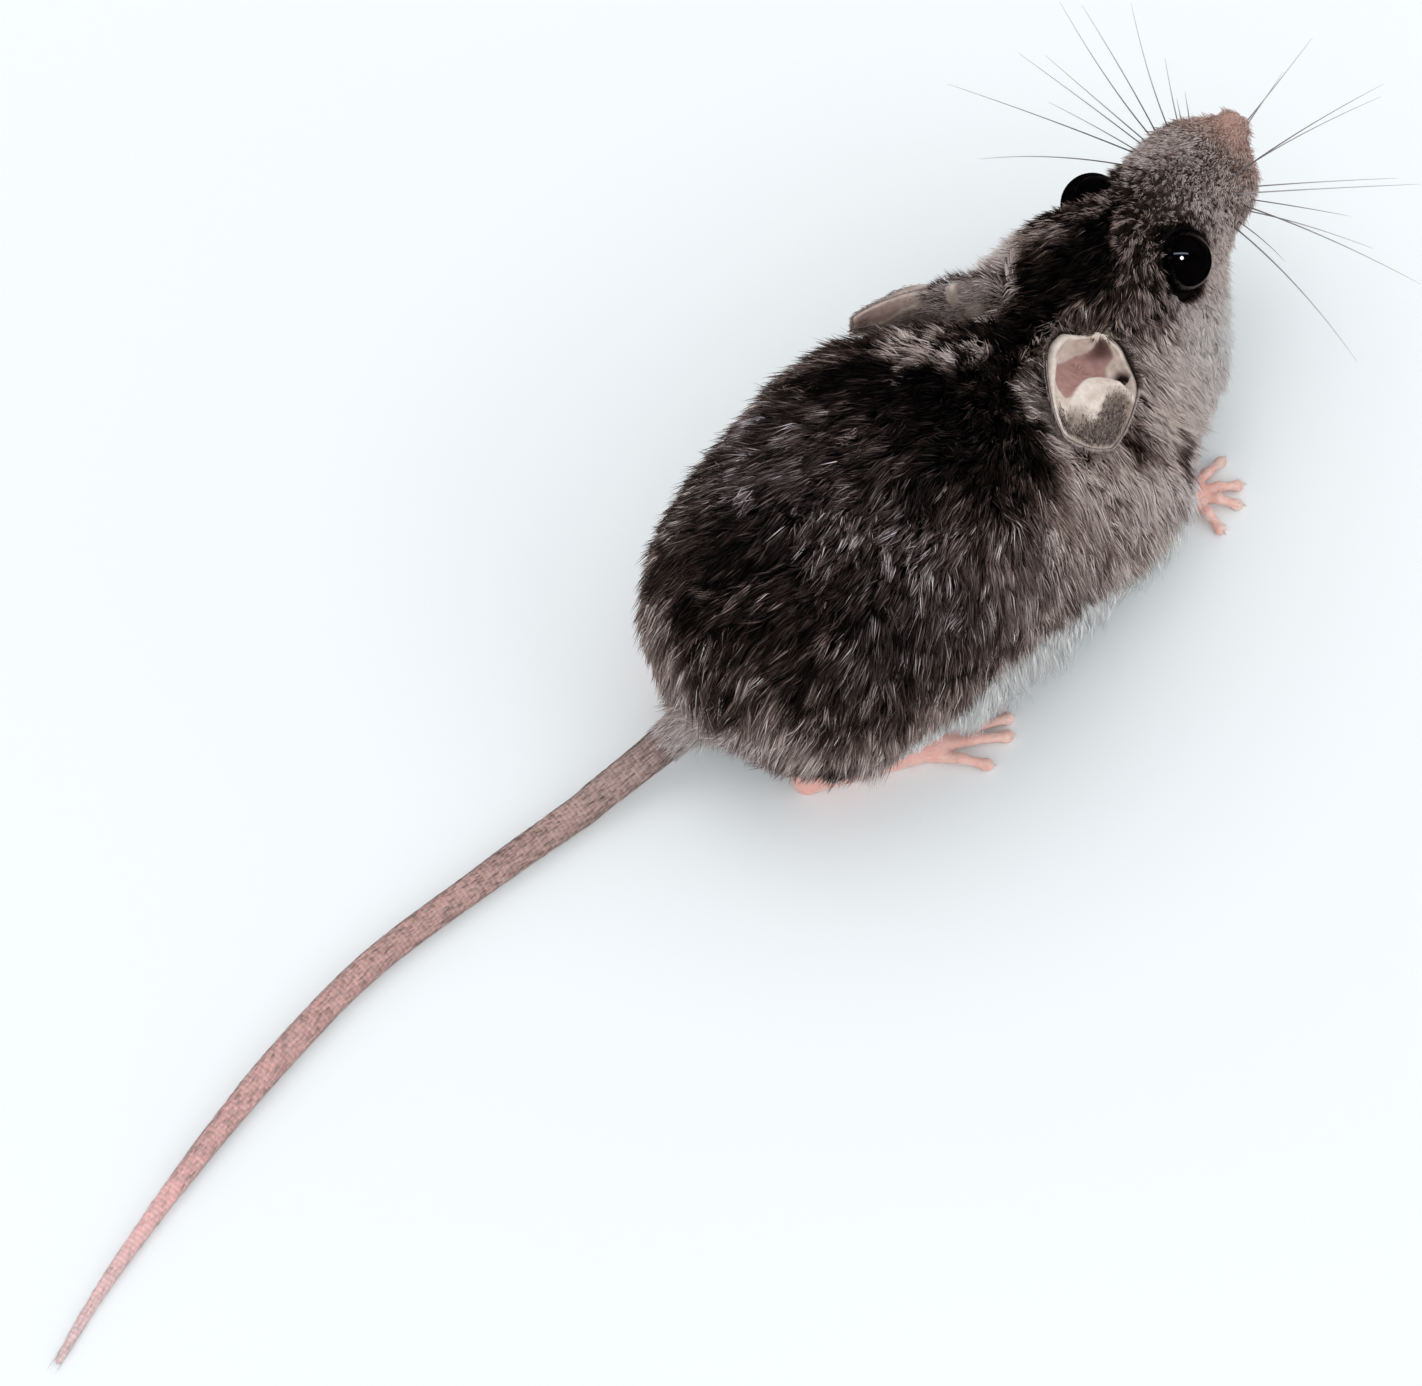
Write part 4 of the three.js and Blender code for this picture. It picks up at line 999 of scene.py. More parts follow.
def flow(p, n):
    """which way the hair lies: from head to tail, falling down the flanks, round eyes and ears"""
    f = -p[:, 1]
    head = smooth(44, 50, f)[:, None]
    fall = np.zeros_like(p)
    fall[:, 2] = -1.7 * np.abs(n[:, 0]) - 0.45 * smooth(6, -4, f)
    v = (np.array([0, 1.0, 0]) + fall) * (1 - head) + (HB[:, 1] * 1.0 + HB[:, 2] * -0.25) * head
    for side in ("right", "left"):
        w = p - EYES[side]
        r = np.linalg.norm(w, axis=1, keepdims=True)
        v = v + unit(w) * np.exp(-np.maximum(r - EYE_RADIUS, 0) / 1.0) * 0.9
        o, B = EARS[side]
        w = p - (o + B @ np.array([0, -1.0, 4.0]))
        r = np.linalg.norm(w, axis=1, keepdims=True)
        v = v + unit(w) * np.exp(-((r / 7.5) ** 2)) * 0.8
    nz = np.stack([noise(p, 5.0, 41), noise(p, 5.0, 42), noise(p, 5.0, 43)], 1) + 0.9 * np.stack([noise(p, 1.6, 51), noise(p, 1.6, 52), noise(p, 1.6, 53)], 1)
    v = v + 0.32 * nz
    v = v - n * (v * n).sum(1, keepdims=True)
    return unit(v)


def keep_level(p, level, most):
    """moves points along the slope of the coat's field until they stand at the given level"""
    for _ in range(2):
        v, g = coat.read(p)
        g2 = (g**2).sum(1)
        s = np.clip((level - v) / np.maximum(g2, 0.3), -most, most)
        p = p + g * s[:, None]
    return p


def scatter(count, pts, tris, weight):
    a, b, c = (pts[tris[:, k]] for k in range(3))
    area = np.linalg.norm(np.cross(b - a, c - a), axis=1) / 2
    w = area * weight((a + b + c) / 3)
    k = rng.choice(len(tris), count, p=w / w.sum())
    u, v = rng.uniform(0, 1, (2, count))
    flip = u + v > 1
    u, v = np.where(flip, 1 - u, u), np.where(flip, 1 - v, v)
    return a[k] + (b[k] - a[k]) * u[:, None] + (c[k] - a[k]) * v[:, None]




def bare(p):
    """1 where no coat grows: on the eyes and lids and the nose pad"""
    k = np.zeros(len(p))
    for side in ("right", "left"):
        v = p - EYES[side]
        k = np.maximum(k, (1 - smooth(EYE_RADIUS + 0.30, EYE_RADIUS + 0.55, np.linalg.norm(v, axis=1))) * smooth(-0.6, 0.4, v @ EYE_AXIS[side]))
    hl, hf, hu = to_head(p)
    k = np.maximum(k, smooth(13.6, 14.1, hf))
    return k


def density(p):
    v, g = coat.read(p)
    n = unit(g)
    hl, hf, hu = to_head(p)
    head = smooth(46, 51, -p[:, 1])
    w = 1.0 + 1.2 * head + 1.1 * smooth(4, 8, hf) * smooth(54, 57, -p[:, 1])
    w = w * (1 - 0.82 * smooth(0.45, 0.9, -n[:, 2]))
    w = w * (1 - 0.35 * smooth(10.5, 13.0, hf) * smooth(56, 58, -p[:, 1]))
    return w * (1 - bare(p))


PIECES = 7
BRIGHT = 2.45         # hairs are brighter than the coat looks, which the gaps between them darken
EACH = 30000
TOTAL = PIECES * EACH


def lengths(p, n):
    """length and width of the hair locks at points p"""
    f = -p[:, 1]
    hl, hf, hu = to_head(p)
    L = 2.3 + 0.5 * smooth(8, -2, f) - 0.2 * smooth(25, 40, f)
    head = smooth(42, 50, f)
    L = L + (1.35 - L) * head
    face = smooth(-4.0, 4.5, hf) * smooth(50, 54, f)
    L = L + (0.72 - L) * face
    tipf = smooth(8.5, 12.5, hf) * smooth(56, 59, f)
    L = L + (0.42 - L) * tipf
    for side in ("right", "left"):
        r = np.linalg.norm(p - EYES[side], axis=1)
        near = 1 - smooth(EYE_RADIUS + 0.3, EYE_RADIUS + 2.2, r)
        L = L + (0.6 - L) * near * 0.85
    W = 0.062 + 0.050 * smooth(0.7, 2.3, L)
    return L, W


def grow(root, n, L, level):
    """middle and tip of each lock, following the lie of the coat"""
    v0, g0 = coat.read(root)
    u0 = flow(root, n)
    mid = root + u0 * (L * 0.5)[:, None]
    mid = keep_level(mid, v0 + 0.62 * (level - v0), 1.2)
    n1 = normals_of(mid)
    u1 = flow(mid, n1)
    tip = mid + u1 * (L * 0.55)[:, None]
    tip = keep_level(tip, level, 1.4)
    return mid, tip


roots = scatter(TOTAL, skin_pts, skin_tris, density)
rn = normals_of(roots)
L, W = lengths(roots, rn)
hl, hf, hu = to_head(roots)
f_ = -roots[:, 1]
short = 1 - smooth(0.6, 2.2, L)
spike = rng.uniform(0, 1, TOTAL)
level = -0.65 + 1.05 * spike**1.2 + 0.8 * (spike > 0.88) * rng.uniform(0, 1, TOTAL)
level = level * (1 - 0.45 * short)
level = level + 0.3 * smooth(7, -3, f_) * (spike > 0.7)
# the fringe of the belly stands out below the flanks, and the coat lies low behind the left ear
low = (1 - smooth(-0.7, 1.5, roots[:, 2] - np.interp(f_, WHITE_LINE[:, 0], WHITE_LINE[:, 1]))) * (rn[:, 2] < 0.3) * smooth(50, 46, f_)
level = level + 0.50 * low * spike * (spike > 0.5)
L = L + 0.6 * low
o, B = EARS["left"]
q = (roots - o) @ B
gap = np.sqrt(q[:, 0] ** 2 + q[:, 1] ** 2 + np.maximum(0, q[:, 2] - EAR_LENGTH) ** 2 + np.maximum(0, -q[:, 2]) ** 2)
by_ear = 1 - smooth(3.5, 7.0, gap)
level = level - 0.7 * by_ear
# and short over the hind feet
for sg in (-1, 1):
    q = (roots - P(-3.1 + sg * 14.0, 7.5, 6.0)) @ rot_z(sg * 30)
    near = 1 - smooth(0.7, 1.15, np.linalg.norm(q / np.array([5.5, 8.5, 7.5]), axis=1))
    near = near * smooth(3.0, -1.0, roots[:, 2] - np.interp(f_, WHITE_LINE[:, 0], WHITE_LINE[:, 1]))
    a_, b_ = P(-3.1 + sg * 6.3, 2.6, 0)[:2], P(-3.1 + sg * 11.9, 11.6, 0)[:2]
    t_ = np.clip(((roots[:, :2] - a_) @ (b_ - a_)) / ((b_ - a_) @ (b_ - a_)), 0, 1)
    out_ = sg * (roots[:, 0] - (a_ + t_[:, None] * (b_ - a_))[:, 0])
    near = np.maximum(near, smooth(-1.5, 1.0, out_) * (1 - smooth(4.5, 8.5, roots[:, 2])) * (f_ > 0) * (f_ < 14))
    level = level - 1.5 * near
    L = L * (1 - 0.5 * near)
mid, tip = grow(roots, rn, L * rng.uniform(0.72, 1.22, TOTAL), level)

# locks: neighbouring hairs lean together towards a shared tip, and small locks towards a larger one
from mathutils import kdtree


def leaders(count):
    """for each hair, the nearest of some hairs picked at random"""
    pick = rng.permutation(TOTAL)[:count]
    kd = kdtree.KDTree(count)
    for k, c in enumerate(roots[pick]):
        kd.insert(c, k)
    kd.balance()
    return pick[np.fromiter((kd.find(c)[1] for c in roots), dtype=np.int64, count=TOTAL)]


cl, cl2 = leaders(TOTAL // 9), leaders(TOTAL // 70)
lean = np.stack([rng.normal(0, 1, TOTAL) for _ in range(3)], 1)
shift = (lean[cl2] * 0.20 + lean[cl] * 0.13) * L[:, None]
shift += rng.normal(0, 0.085, (TOTAL, 3)) * L[:, None]
shift -= rn * (shift * rn).sum(1, keepdims=True) * 0.6
mid, tip = mid + shift * 0.35, tip + shift
pull = rng.uniform(0.45, 0.85, TOTAL)
pull2 = rng.uniform(0.1, 0.4, TOTAL) * (1 - short)
tip = tip + (tip[cl] - tip) * (pull * 0.72)[:, None]
tip = tip + (tip[cl2] - tip) * (pull2 * 0.75)[:, None]
mid = mid + (mid[cl] - mid) * (pull * 0.28)[:, None]
# nothing goes into the floor
tip[:, 2] = np.maximum(tip[:, 2], 0.12)
mid[:, 2] = np.maximum(mid[:, 2], 0.2)

# hairs keep off the eyes and out of the ears' leaves
first = {side: (roots - o) @ B for side, (o, B) in EARS.items()}
for arr in (mid, tip):
    for side in ("right", "left"):
        v = arr - EYES[side]
        r = np.linalg.norm(v, axis=1, keepdims=True)
        ax = (v @ EYE_AXIS[side])[:, None]
        need = EYE_RADIUS + 0.20
        arr += np.where((r < need) & (ax > -0.6), unit(v) * (need - r), 0)
        o, B = EARS[side]
        q = (arr - o) @ B
        s_ = q[:, 2] / EAR_LENGTH
        hw, A_, bow = ear_half(np.clip(s_, 0, 0.96))
        Rr = hw / A_
        foot_ = Rr * np.sin(np.minimum(A_ * ear_narrow(s_, side), 1.45))
        x_ = np.clip(q[:, 0] / Rr, -0.99, 0.99)
        y_ = Rr * (1 - np.sqrt(1 - x_**2)) + bow
        start = 0.09 if side == "right" else 0.015
        hit = (s_ > start) & (s_ < 0.97) & (np.abs(q[:, 0]) < foot_ * 1.02 + 0.15) & (q[:, 1] > y_ - 0.4) & (q[:, 1] < y_ + 6)
        ahead = hit & (first[side][:, 2] < (start + 0.03) * EAR_LENGTH)
        q[:, 2] = np.where(ahead, (start - 0.01) * EAR_LENGTH, q[:, 2])
        q[:, 1] = np.where(ahead, np.minimum(q[:, 1], y_ + 1.3), np.where(hit, y_ - 0.42, q[:, 1]))
        arr[hit] = (q[hit] @ B.T) + o

at_ = roots * 0.35 + tip * 0.65
tone, white, pink, lilac = markings(at_, normals_of(at_))
strand_n = rng.normal(0, 1, TOTAL)
clump_n, clump2_n = rng.normal(0, 1, TOTAL)[cl], rng.normal(0, 1, TOTAL)[cl2]
dark_area = 1 - smooth(0.03, 0.16, tone)
sigma = 0.42 + 0.55 * dark_area
bright = tone * BRIGHT * np.exp(sigma * (0.55 * strand_n + 0.80 * clump_n + 0.55 * clump2_n - 0.45)) * np.exp(0.5 * (spike - 0.5))
fleck = flecking(at_)
black = (rng.uniform(0, 1, TOTAL) < 0.10 + 0.14 * dark_area) | (rng.uniform(0, 1, TOTAL)[cl] < 0.62 * fleck)
bright = np.where(black, bright * (0.2 - 0.16 * fleck), bright)
bright = np.clip(bright, 0.0004, 0.80 - 0.35 * smooth(44, 49, f_) * smooth(1, 3, hu) * (1 - smooth(-1, 3, hf)))
white = np.clip(white + 0.25 * rng.normal(0, 1, TOTAL) * white * (1 - white) * 4, 0, 1)
attrs = np.stack([np.sqrt(bright), white, pink * rng.uniform(0.3, 1, TOTAL), lilac], 1)
around_body = np.arctan2(roots[:, 0] + 3.6, roots[:, 2] - 11.0)
# none crosses an eye
clear = np.ones(TOTAL, bool)
for side in ("right", "left"):
    for arr in (0.5 * (roots + mid), mid, 0.5 * (mid + tip), tip):
        v = arr - EYES[side]
        ax = v @ EYE_AXIS[side]
        clear &= ~((ax > 0.2) & (np.linalg.norm(v - ax[:, None] * EYE_AXIS[side], axis=1) < EYE_RADIUS - 0.40) & (ax < EYE_RADIUS + 1.5))
order = rng.permutation(TOTAL)
for k in range(PIECES):
    s = order[k * EACH:(k + 1) * EACH]
    s = s[clear[s]]
    hair_object("coat_%d" % (k + 1), roots[s], mid[s], tip[s], W[s] * rng.uniform(0.75, 1.25, len(s)), attrs[s], fur.m, (around_body[s], roots[s, 1]))


# ------------------------------------------------------------------ short hairs on ears, tail and feet
def plain_hairs(name, root, n, along, L, W, tone, white, mat, place, rise=0.25):
    """sparse hairs that lie along a surface, from points with outward normals"""
    d = unit(along - n * (along * n).sum(1, keepdims=True))
    k = len(root)
    mid = root + d * (L * 0.5)[:, None] + n * (L * rise * 0.5)[:, None]
    tip = root + d * L[:, None] + n * (L * rise * rng.uniform(0.3, 1.1, k))[:, None]
    mid[:, 2], tip[:, 2] = np.maximum(mid[:, 2], 0.05), np.maximum(tip[:, 2], 0.04)
    at = np.stack([np.sqrt(tone), white, 0 * tone, 0.4 + 0 * tone], 1)
    return hair_object(name, root - n * 0.03, mid, tip, W, at, mat, place)


# ears: fine hairs on the back of the leaf, a fringe where it joins the head, short pale ones on the rim
for side, (o, B) in EARS.items():
    e = 0.01
    n_back = 6200 if side == "left" else 5600
    s = 0.02 + (EAR_END[side] - 0.04) * rng.uniform(0, 1, n_back) ** 1.25
    v = ear_reach(side, s, rng.uniform(0, 1, n_back))
    if side == "left":
        s = np.where(rng.uniform(0, 1, n_back) < 0.45, rng.uniform(0.10, 0.48, n_back), s)
        v = ear_reach(side, s, rng.uniform(0, 1, n_back))
        keep = (s < 0.56) | (v < 0.06) | (rng.uniform(0, 1, n_back) < 0.12)
        s, v = s[keep], v[keep]
        n_back = len(s)
    mid_, nn_ = ear_middle(s, v, side), ear_normal(s, v, side)
    pts = o + (mid_ - nn_ * 0.22) @ B.T
    nrm = -(nn_ @ B.T)
    up = unit((ear_middle(s + e, v, side) - ear_middle(s - e, v, side)) @ B.T)
    # fine hairs inside, over the haired lobe beyond the fold
    n_in = 3600
    s2 = 0.46 + (EAR_END[side] - 0.48) * rng.uniform(0, 1, n_in) ** 0.9
    v2 = ear_reach(side, s2, rng.uniform(0, 1, n_in))
    keep = s2 > lobe_line(v2) + 0.05 * rng.normal(0, 1, n_in)
    s2, v2 = s2[keep], v2[keep]
    mid2, nn2 = ear_middle(s2, v2, side), ear_normal(s2, v2, side)
    p2 = o + (mid2 + nn2 * (0.20 + ear_relief(s2, v2, side))[:, None]) @ B.T
    up2 = unit((ear_middle(s2 + e, v2, side) - ear_middle(s2 - e, v2, side)) @ B.T)
    # the brown fringe in front of the root, on the inner side
    n_f = 900
    s4 = rng.uniform(-0.04, 0.115, n_f) if side == "right" else rng.uniform(-0.06, 0.045, n_f)
    v4 = rng.uniform(-0.8, 0.8, n_f)
    mid4, nn4 = ear_middle(s4, v4, side), ear_normal(s4, v4, side)
    p4 = o + (mid4 + nn4 * (0.15 + ear_relief(s4, v4, side))[:, None]) @ B.T
    up4 = unit((ear_middle(s4 + e, v4, side) - ear_middle(s4 - e, v4, side)) @ B.T)
    # the rim's fringe
    n_rim = 2600
    t = rng.uniform(0, 1, n_rim)
    w3 = np.where(t < 0.4, 0.0, np.where(t < 0.6, (t - 0.4) / 0.2, 1.0))
    end = EAR_END[side] - 0.005
    s3 = np.where(t < 0.4, 0.08 + t / 0.4 * (end - 0.08), np.where(t < 0.6, end, 0.08 + (1 - t) / 0.4 * (end - 0.08)))
    v3 = ear_reach(side, s3, w3)
    mid3, nn3 = ear_middle(s3, v3, side), ear_normal(s3, v3, side)
    p3 = o + (mid3 - nn3 * 0.05) @ B.T
    side_dir = unit((ear_middle(s3, v3 + e, side) - ear_middle(s3, v3 - e, side)) @ B.T) * np.sign(w3 - 0.5)[:, None]
    up3 = unit((ear_middle(s3 + e, v3, side) - ear_middle(s3 - e, v3, side)) @ B.T)
    along3 = unit(up3 * 0.9 + side_dir * 0.45)
    root = np.concatenate([pts, p2, p4, p3])
    nrm = np.concatenate([nrm, nn2 @ B.T, nn4 @ B.T, -(nn3 @ B.T)])
    along = np.concatenate([up, up2, up4, along3]) + 0.25 * rng.normal(0, 1, (len(root), 3))
    m2, m3, m4 = len(s2), n_rim, n_f
    base_k = 1 - smooth(0.05, 0.45, s)
    L3 = np.concatenate([rng.uniform(0.5, 1.0, n_back) * (1 + 1.3 * base_k), rng.uniform(0.35, 0.75, m2), rng.uniform(0.8, 1.5, m4), rng.uniform(0.25, 0.5, m3) * (1 + 2.4 * (1 - smooth(0.35, 0.6, s3)))])
    W3 = np.concatenate([0.048 + 0.03 * base_k, np.full(m2, 0.042), np.full(m4, 0.075), np.full(m3, 0.045)])
    dark = rng.uniform(0, 1, n_back) < 0.30 - 0.20 * (side == "left") * (1 - smooth(0.25, 0.45, s)) + 0.45 * noise(np.stack([s * 4, v * 9, 0 * s], 1), 1.2, 61 if side == "left" else 62)
    tone3 = np.concatenate([np.where(dark, 0.06, 0.52) * np.exp(0.4 * rng.normal(size=n_back)),
                            np.where(rng.uniform(0, 1, m2) < 0.45, 0.09, 0.34) * np.exp(0.4 * rng.normal(size=m2)),
                            0.13 * np.exp(0.7 * rng.normal(size=m4)), np.where(s3 < 0.5, np.where(rng.uniform(0, 1, m3) < 0.55, 0.05, 0.30), 0.60) * np.exp(0.3 * rng.normal(size=m3))])
    plain_hairs("ear_hair_" + side, root, nrm, along, L3, W3, np.clip(tone3, 0.002, 0.8), 0 * tone3, fur.m,
                (np.concatenate([v, v2, v4, v3]), np.concatenate([s, s2 + 2, s4 + 4, s3 + 6])), rise=0.15)

# tail: short hairs lying back between the scales, thick and dark at the root, a small tuft at the tip
nt = 9000
t = rng.uniform(0.045, 1, nt) ** 1.12
t = np.where((t > 0.78) & (rng.uniform(0, 1, nt) < 0.7), 0.045 + 0.7 * rng.uniform(0, 1, nt), t)
a = rng.uniform(0, 2 * np.pi, nt)
k = t * (TN - 1)
i0 = np.clip(k.astype(int), 0, TN - 2)
fr = (k - i0)[:, None]
cen = tail_c[i0] * (1 - fr) + tail_c[i0 + 1] * fr
nrm = tside[i0] * np.cos(a)[:, None] + tup[i0] * np.sin(a)[:, None]
rr = tail_radius(t)
root = cen + nrm * (rr * 0.97)[:, None]
ok = root[:, 2] > 0.06
root, nrm, t, a, i0 = root[ok], nrm[ok], t[ok], a[ok], i0[ok]
upness = 0.5 + 0.5 * np.sin(a)
tone3 = np.clip((0.30 + 0.45 * smooth(0.1, 0.9, t)) * np.exp(0.4 * rng.normal(size=len(t))), 0.01, 0.8)
light = np.maximum(1 - smooth(0.34, 0.48, upness), 0.5 * smooth(0.7, 1.0, t))
plain_hairs("tail_hair", root, nrm, td[i0], rng.uniform(0.55, 1.0, len(t)) * (1 + 0.9 * (1 - smooth(0.05, 0.14, t)) + 0.5 * smooth(0.93, 1, t)),
            np.full(len(t), 0.036), tone3, light, fur.m, (a, t), rise=0.10)

# grey fur running out over the first of the tail
n_r = 4200
t = 0.008 + 0.070 * rng.uniform(0, 1, n_r) ** 1.5
a = rng.uniform(0, 2 * np.pi, n_r)
k = t * (TN - 1)
i0 = np.clip(k.astype(int), 0, TN - 2)
nrm = tside[i0] * np.cos(a)[:, None] + tup[i0] * np.sin(a)[:, None]
root = tail_c[i0] + nrm * (tail_radius(t) * 0.9)[:, None]
ok = root[:, 2] > 0.3
root, nrm, t, a, i0 = root[ok], nrm[ok], t[ok], a[ok], i0[ok]
m = len(t)
tone3 = np.clip(0.85 * np.exp(0.5 * rng.normal(size=m)), 0.01, 0.85)
plain_hairs("tail_root_hair", root, nrm, td[i0] + 0.18 * rng.normal(0, 1, (m, 3)), rng.uniform(1.5, 3.0, m) * (1 - 5.0 * (t - 0.008)), np.full(m, 0.085),
            tone3, (1 - smooth(0.25, 0.45, 0.5 + 0.5 * np.sin(a))) * 0.9, fur.m, (a, t), rise=0.22)

# feet: fine white hairs on the upper side of the sole and toes
rt, nr, al = [], [], []
for p_, t_ in foot_parts:
    nf = 1500
    q = scatter(nf, p_, t_, lambda c: smooth(0.25, 0.8, c[:, 2]))
    a_, b_, c_ = (p_[t_[:, k]] for k in range(3))
    # the normal comes from the nearest mesh point
    vn = np.zeros_like(p_)
    fnrm = np.cross(b_ - a_, c_ - a_)
    for k in range(3):
        np.add.at(vn, t_[:, k], fnrm)
    vn = unit(vn)
    tree = kdtree.KDTree(len(p_))
    for k, c in enumerate(p_):
        tree.insert(c, k)
    tree.balance()
    idx = np.array([tree.find(c)[1] for c in q])
    rt.append(q)
    nr.append(vn[idx])
    heel = p_[np.argmax(p_[:, 1])]
    al.append(unit(q - heel + np.array([0, 0, 0.2])))
rt, nr, al = np.concatenate(rt), np.concatenate(nr), np.concatenate(al)
ok = nr[:, 2] > -0.1
rt, nr, al = rt[ok], nr[ok], al[ok]
plain_hairs("foot_hair", rt, nr, al, rng.uniform(0.35, 0.85, len(rt)), np.full(len(rt), 0.030), np.full(len(rt), 0.6), np.full(len(rt), 0.95),
            fur.m, (rt[:, 0], rt[:, 1]), rise=0.14)


# ------------------------------------------------------------------ tubes: claws and whiskers
def tubes(paths, radii, sides):
    """closed tapered tubes along paths (n, steps, 3) with radii (n, steps)"""
    n, m = radii.shape
    d = unit(np.gradient(paths, axis=1))
    ref = np.where(np.abs(d[..., 2:]) < 0.9, [0, 0, 1.0], [1.0, 0, 0])
    x = unit(np.cross(d, ref))
    y = np.cross(d, x)
    a = np.arange(sides) / sides * 2 * np.pi
    ring = paths[:, :, None] + (x[:, :, None] * np.cos(a)[:, None] + y[:, :, None] * np.sin(a)[:, None]) * radii[:, :, None, None]
    pts = np.concatenate([ring.reshape(n, m * sides, 3), paths[:, :1], paths[:, -1:] + d[:, -1:] * radii[:, -1:, None]], 1)
    i, j = np.meshgrid(np.arange(m - 1), np.arange(sides), indexing="ij")
    q0, q1 = (i * sides + j).ravel(), (i * sides + (j + 1) % sides).ravel()
    t = [np.stack([q0, q1, q1 + sides], 1), np.stack([q0, q1 + sides, q0 + sides], 1)]
    jj = np.arange(sides)
    c, e = m * sides, (m - 1) * sides
    t += [np.stack([np.full(sides, c), (jj + 1) % sides, jj], 1), np.stack([np.full(sides, c + 1), e + jj, e + (jj + 1) % sides], 1)]
    t = np.concatenate(t)
    tri = (np.arange(n)[:, None, None] * (m * sides + 2) + t[None]).reshape(-1, 3)
    return pts.reshape(-1, 3), tri


steps = np.linspace(0, 1, 7)
paths, radii = [], []
for base, d, r in all_claws:
    p = base - d * 0.15 + np.array([0, 0, 0.10])
    paths.append([p + d * (0.95 * s) + np.array([0, 0, 0.16 * s - 0.40 * s * s]) for s in steps])
    radii.append(0.20 * (1 - steps) ** 0.75 * (r / 0.5) + 0.012)
paths, radii = np.array(paths), np.array(radii)
paths[..., 2] = np.maximum(paths[..., 2], radii + 0.01)
pts, tri = tubes(paths, radii, 8)
claw = Nodes("claw", Roughness=0.3, Specular_IOR_Level=0.5)
claw.colour(claw.ramp(claw.noise(1500, 2), [(0.3, (0.62, 0.42, 0.36)), (0.7, (0.86, 0.72, 0.64))]))
ob = mesh_object("claws", pts, tri, materials=(claw.m,))
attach(ob, "root")

# whiskers: each by its root on the muzzle, the place where it bends over and its tip (left, forward, up)
WHISKERS = [
    ((1.5, 57.3, 19.0), (6.5, 53.2, 20.2), (10.2, 48.1, 21.5)), ((2.4, 60.0, 16.3), (9.0, 57.3, 17.8), (17.7, 53.5, 19.3)),
    ((2.2, 60.0, 16.8), (6.0, 58.3, 19.1), (9.5, 56.7, 20.8)), ((2.2, 60.8, 16.6), (7.8, 59.6, 19.3), (14.2, 58.5, 21.6)),
    ((2.2, 61.3, 16.5), (7.1, 60.7, 18.6), (12.7, 60.4, 20.5)), ((2.1, 61.9, 16.5), (6.3, 62.0, 18.8), (14.4, 64.3, 22.5)),
    ((2.0, 62.4, 16.6), (6.1, 63.4, 19.7), (12.6, 64.9, 23.1)), ((1.5, 63.2, 17.2), (4.4, 64.2, 19.6), (9.5, 67.7, 23.2)),
    ((1.0, 63.9, 17.5), (2.4, 64.5, 19.7), (4.3, 65.8, 22.0)), ((0.9, 64.3, 17.4), (1.5, 64.6, 18.2), (2.1, 65.0, 18.9)),
    ((0.4, 64.7, 17.7), (1.1, 65.2, 18.5), (1.9, 65.8, 19.2)),
    ((-3.7, 67.2, 18.1), (-3.6, 70.7, 19.1), (-3.5, 76.2, 20.6)), ((-4.1, 66.7, 18.5), (-3.8, 69.0, 19.3), (-3.5, 72.2, 20.0)),
    ((-6.5, 61.3, 19.3), (-7.2, 65.5, 19.9), (-11.1, 75.9, 21.3)), ((-6.5, 62.4, 19.2), (-7.7, 67.7, 19.4), (-11.2, 75.7, 19.7)),
    ((-7.4, 60.8, 18.6), (-10.6, 64.0, 18.6), (-18.6, 71.5, 18.6)), ((-7.5, 61.9, 18.4), (-10.9, 64.9, 19.0), (-17.2, 70.0, 19.9)),
    ((-8.6, 60.8, 17.1), (-11.6, 63.1, 16.3), (-18.4, 65.9, 15.1)), ((-8.6, 61.4, 17.0), (-14.4, 63.5, 16.6), (-23.7, 65.1, 16.0)),
    ((-9.0, 59.6, 16.4), (-14.9, 59.7, 14.7), (-23.3, 57.4, 12.9)), ((-9.1, 60.6, 15.6), (-10.7, 61.3, 14.1), (-12.8, 61.5, 12.6)),
    ((-8.4, 61.9, 17.3), (-11.4, 64.8, 15.9), (-14.9, 67.4, 14.8)),
]
ws = np.linspace(0, 1, 14)
paths, radii, shade = [], [], []
for k, (q0, q1, q2) in enumerate(WHISKERS):
    q0, q1, q2 = P(*q0), P(*q1), P(*q2)
    # the root settles just under the coat
    v, g = coat.read(q0[None])
    q0 = q0 - unit(g)[0] * (v[0] + 0.35)
    m = np.linalg.norm(q1 - q0) / (np.linalg.norm(q1 - q0) + np.linalg.norm(q2 - q1))
    c = (q1 - (1 - m) ** 2 * q0 - m * m * q2) / (2 * m * (1 - m))
    c = c * 0.55 + (q0 + (q2 - q0) * m) * 0.45
    w = ws[:, None]
    paths.append((1 - w) ** 2 * q0 + 2 * w * (1 - w) * c + w * w * q2)
    long = np.linalg.norm(q2 - q0)
    radii.append((0.034 + 0.024 * min(1, long / 16)) * (1 - ws) ** 0.6 + 0.012)
    shade.append(rng.uniform(0, 0.6))
paths, radii = np.array(paths), np.array(radii)
pts, tri = tubes(paths, radii, 5)
wm = Nodes("whisker", Roughness=0.4, Specular_IOR_Level=0.4)
wat = np.zeros((len(pts), 4))
wat[:, 0] = np.tile(np.concatenate([np.repeat(ws, 5), [0, 1]]), len(paths))
wat[:, 1] = np.repeat(shade, 14 * 5 + 2)
R, G, Bc, A = wm.attr("mark")
f1 = wm.math("ADD", wm.math("ADD", R, G), wm.math("MULTIPLY", wm.math("SUBTRACT", wm.noise(300, 2), 0.5), 0.3))
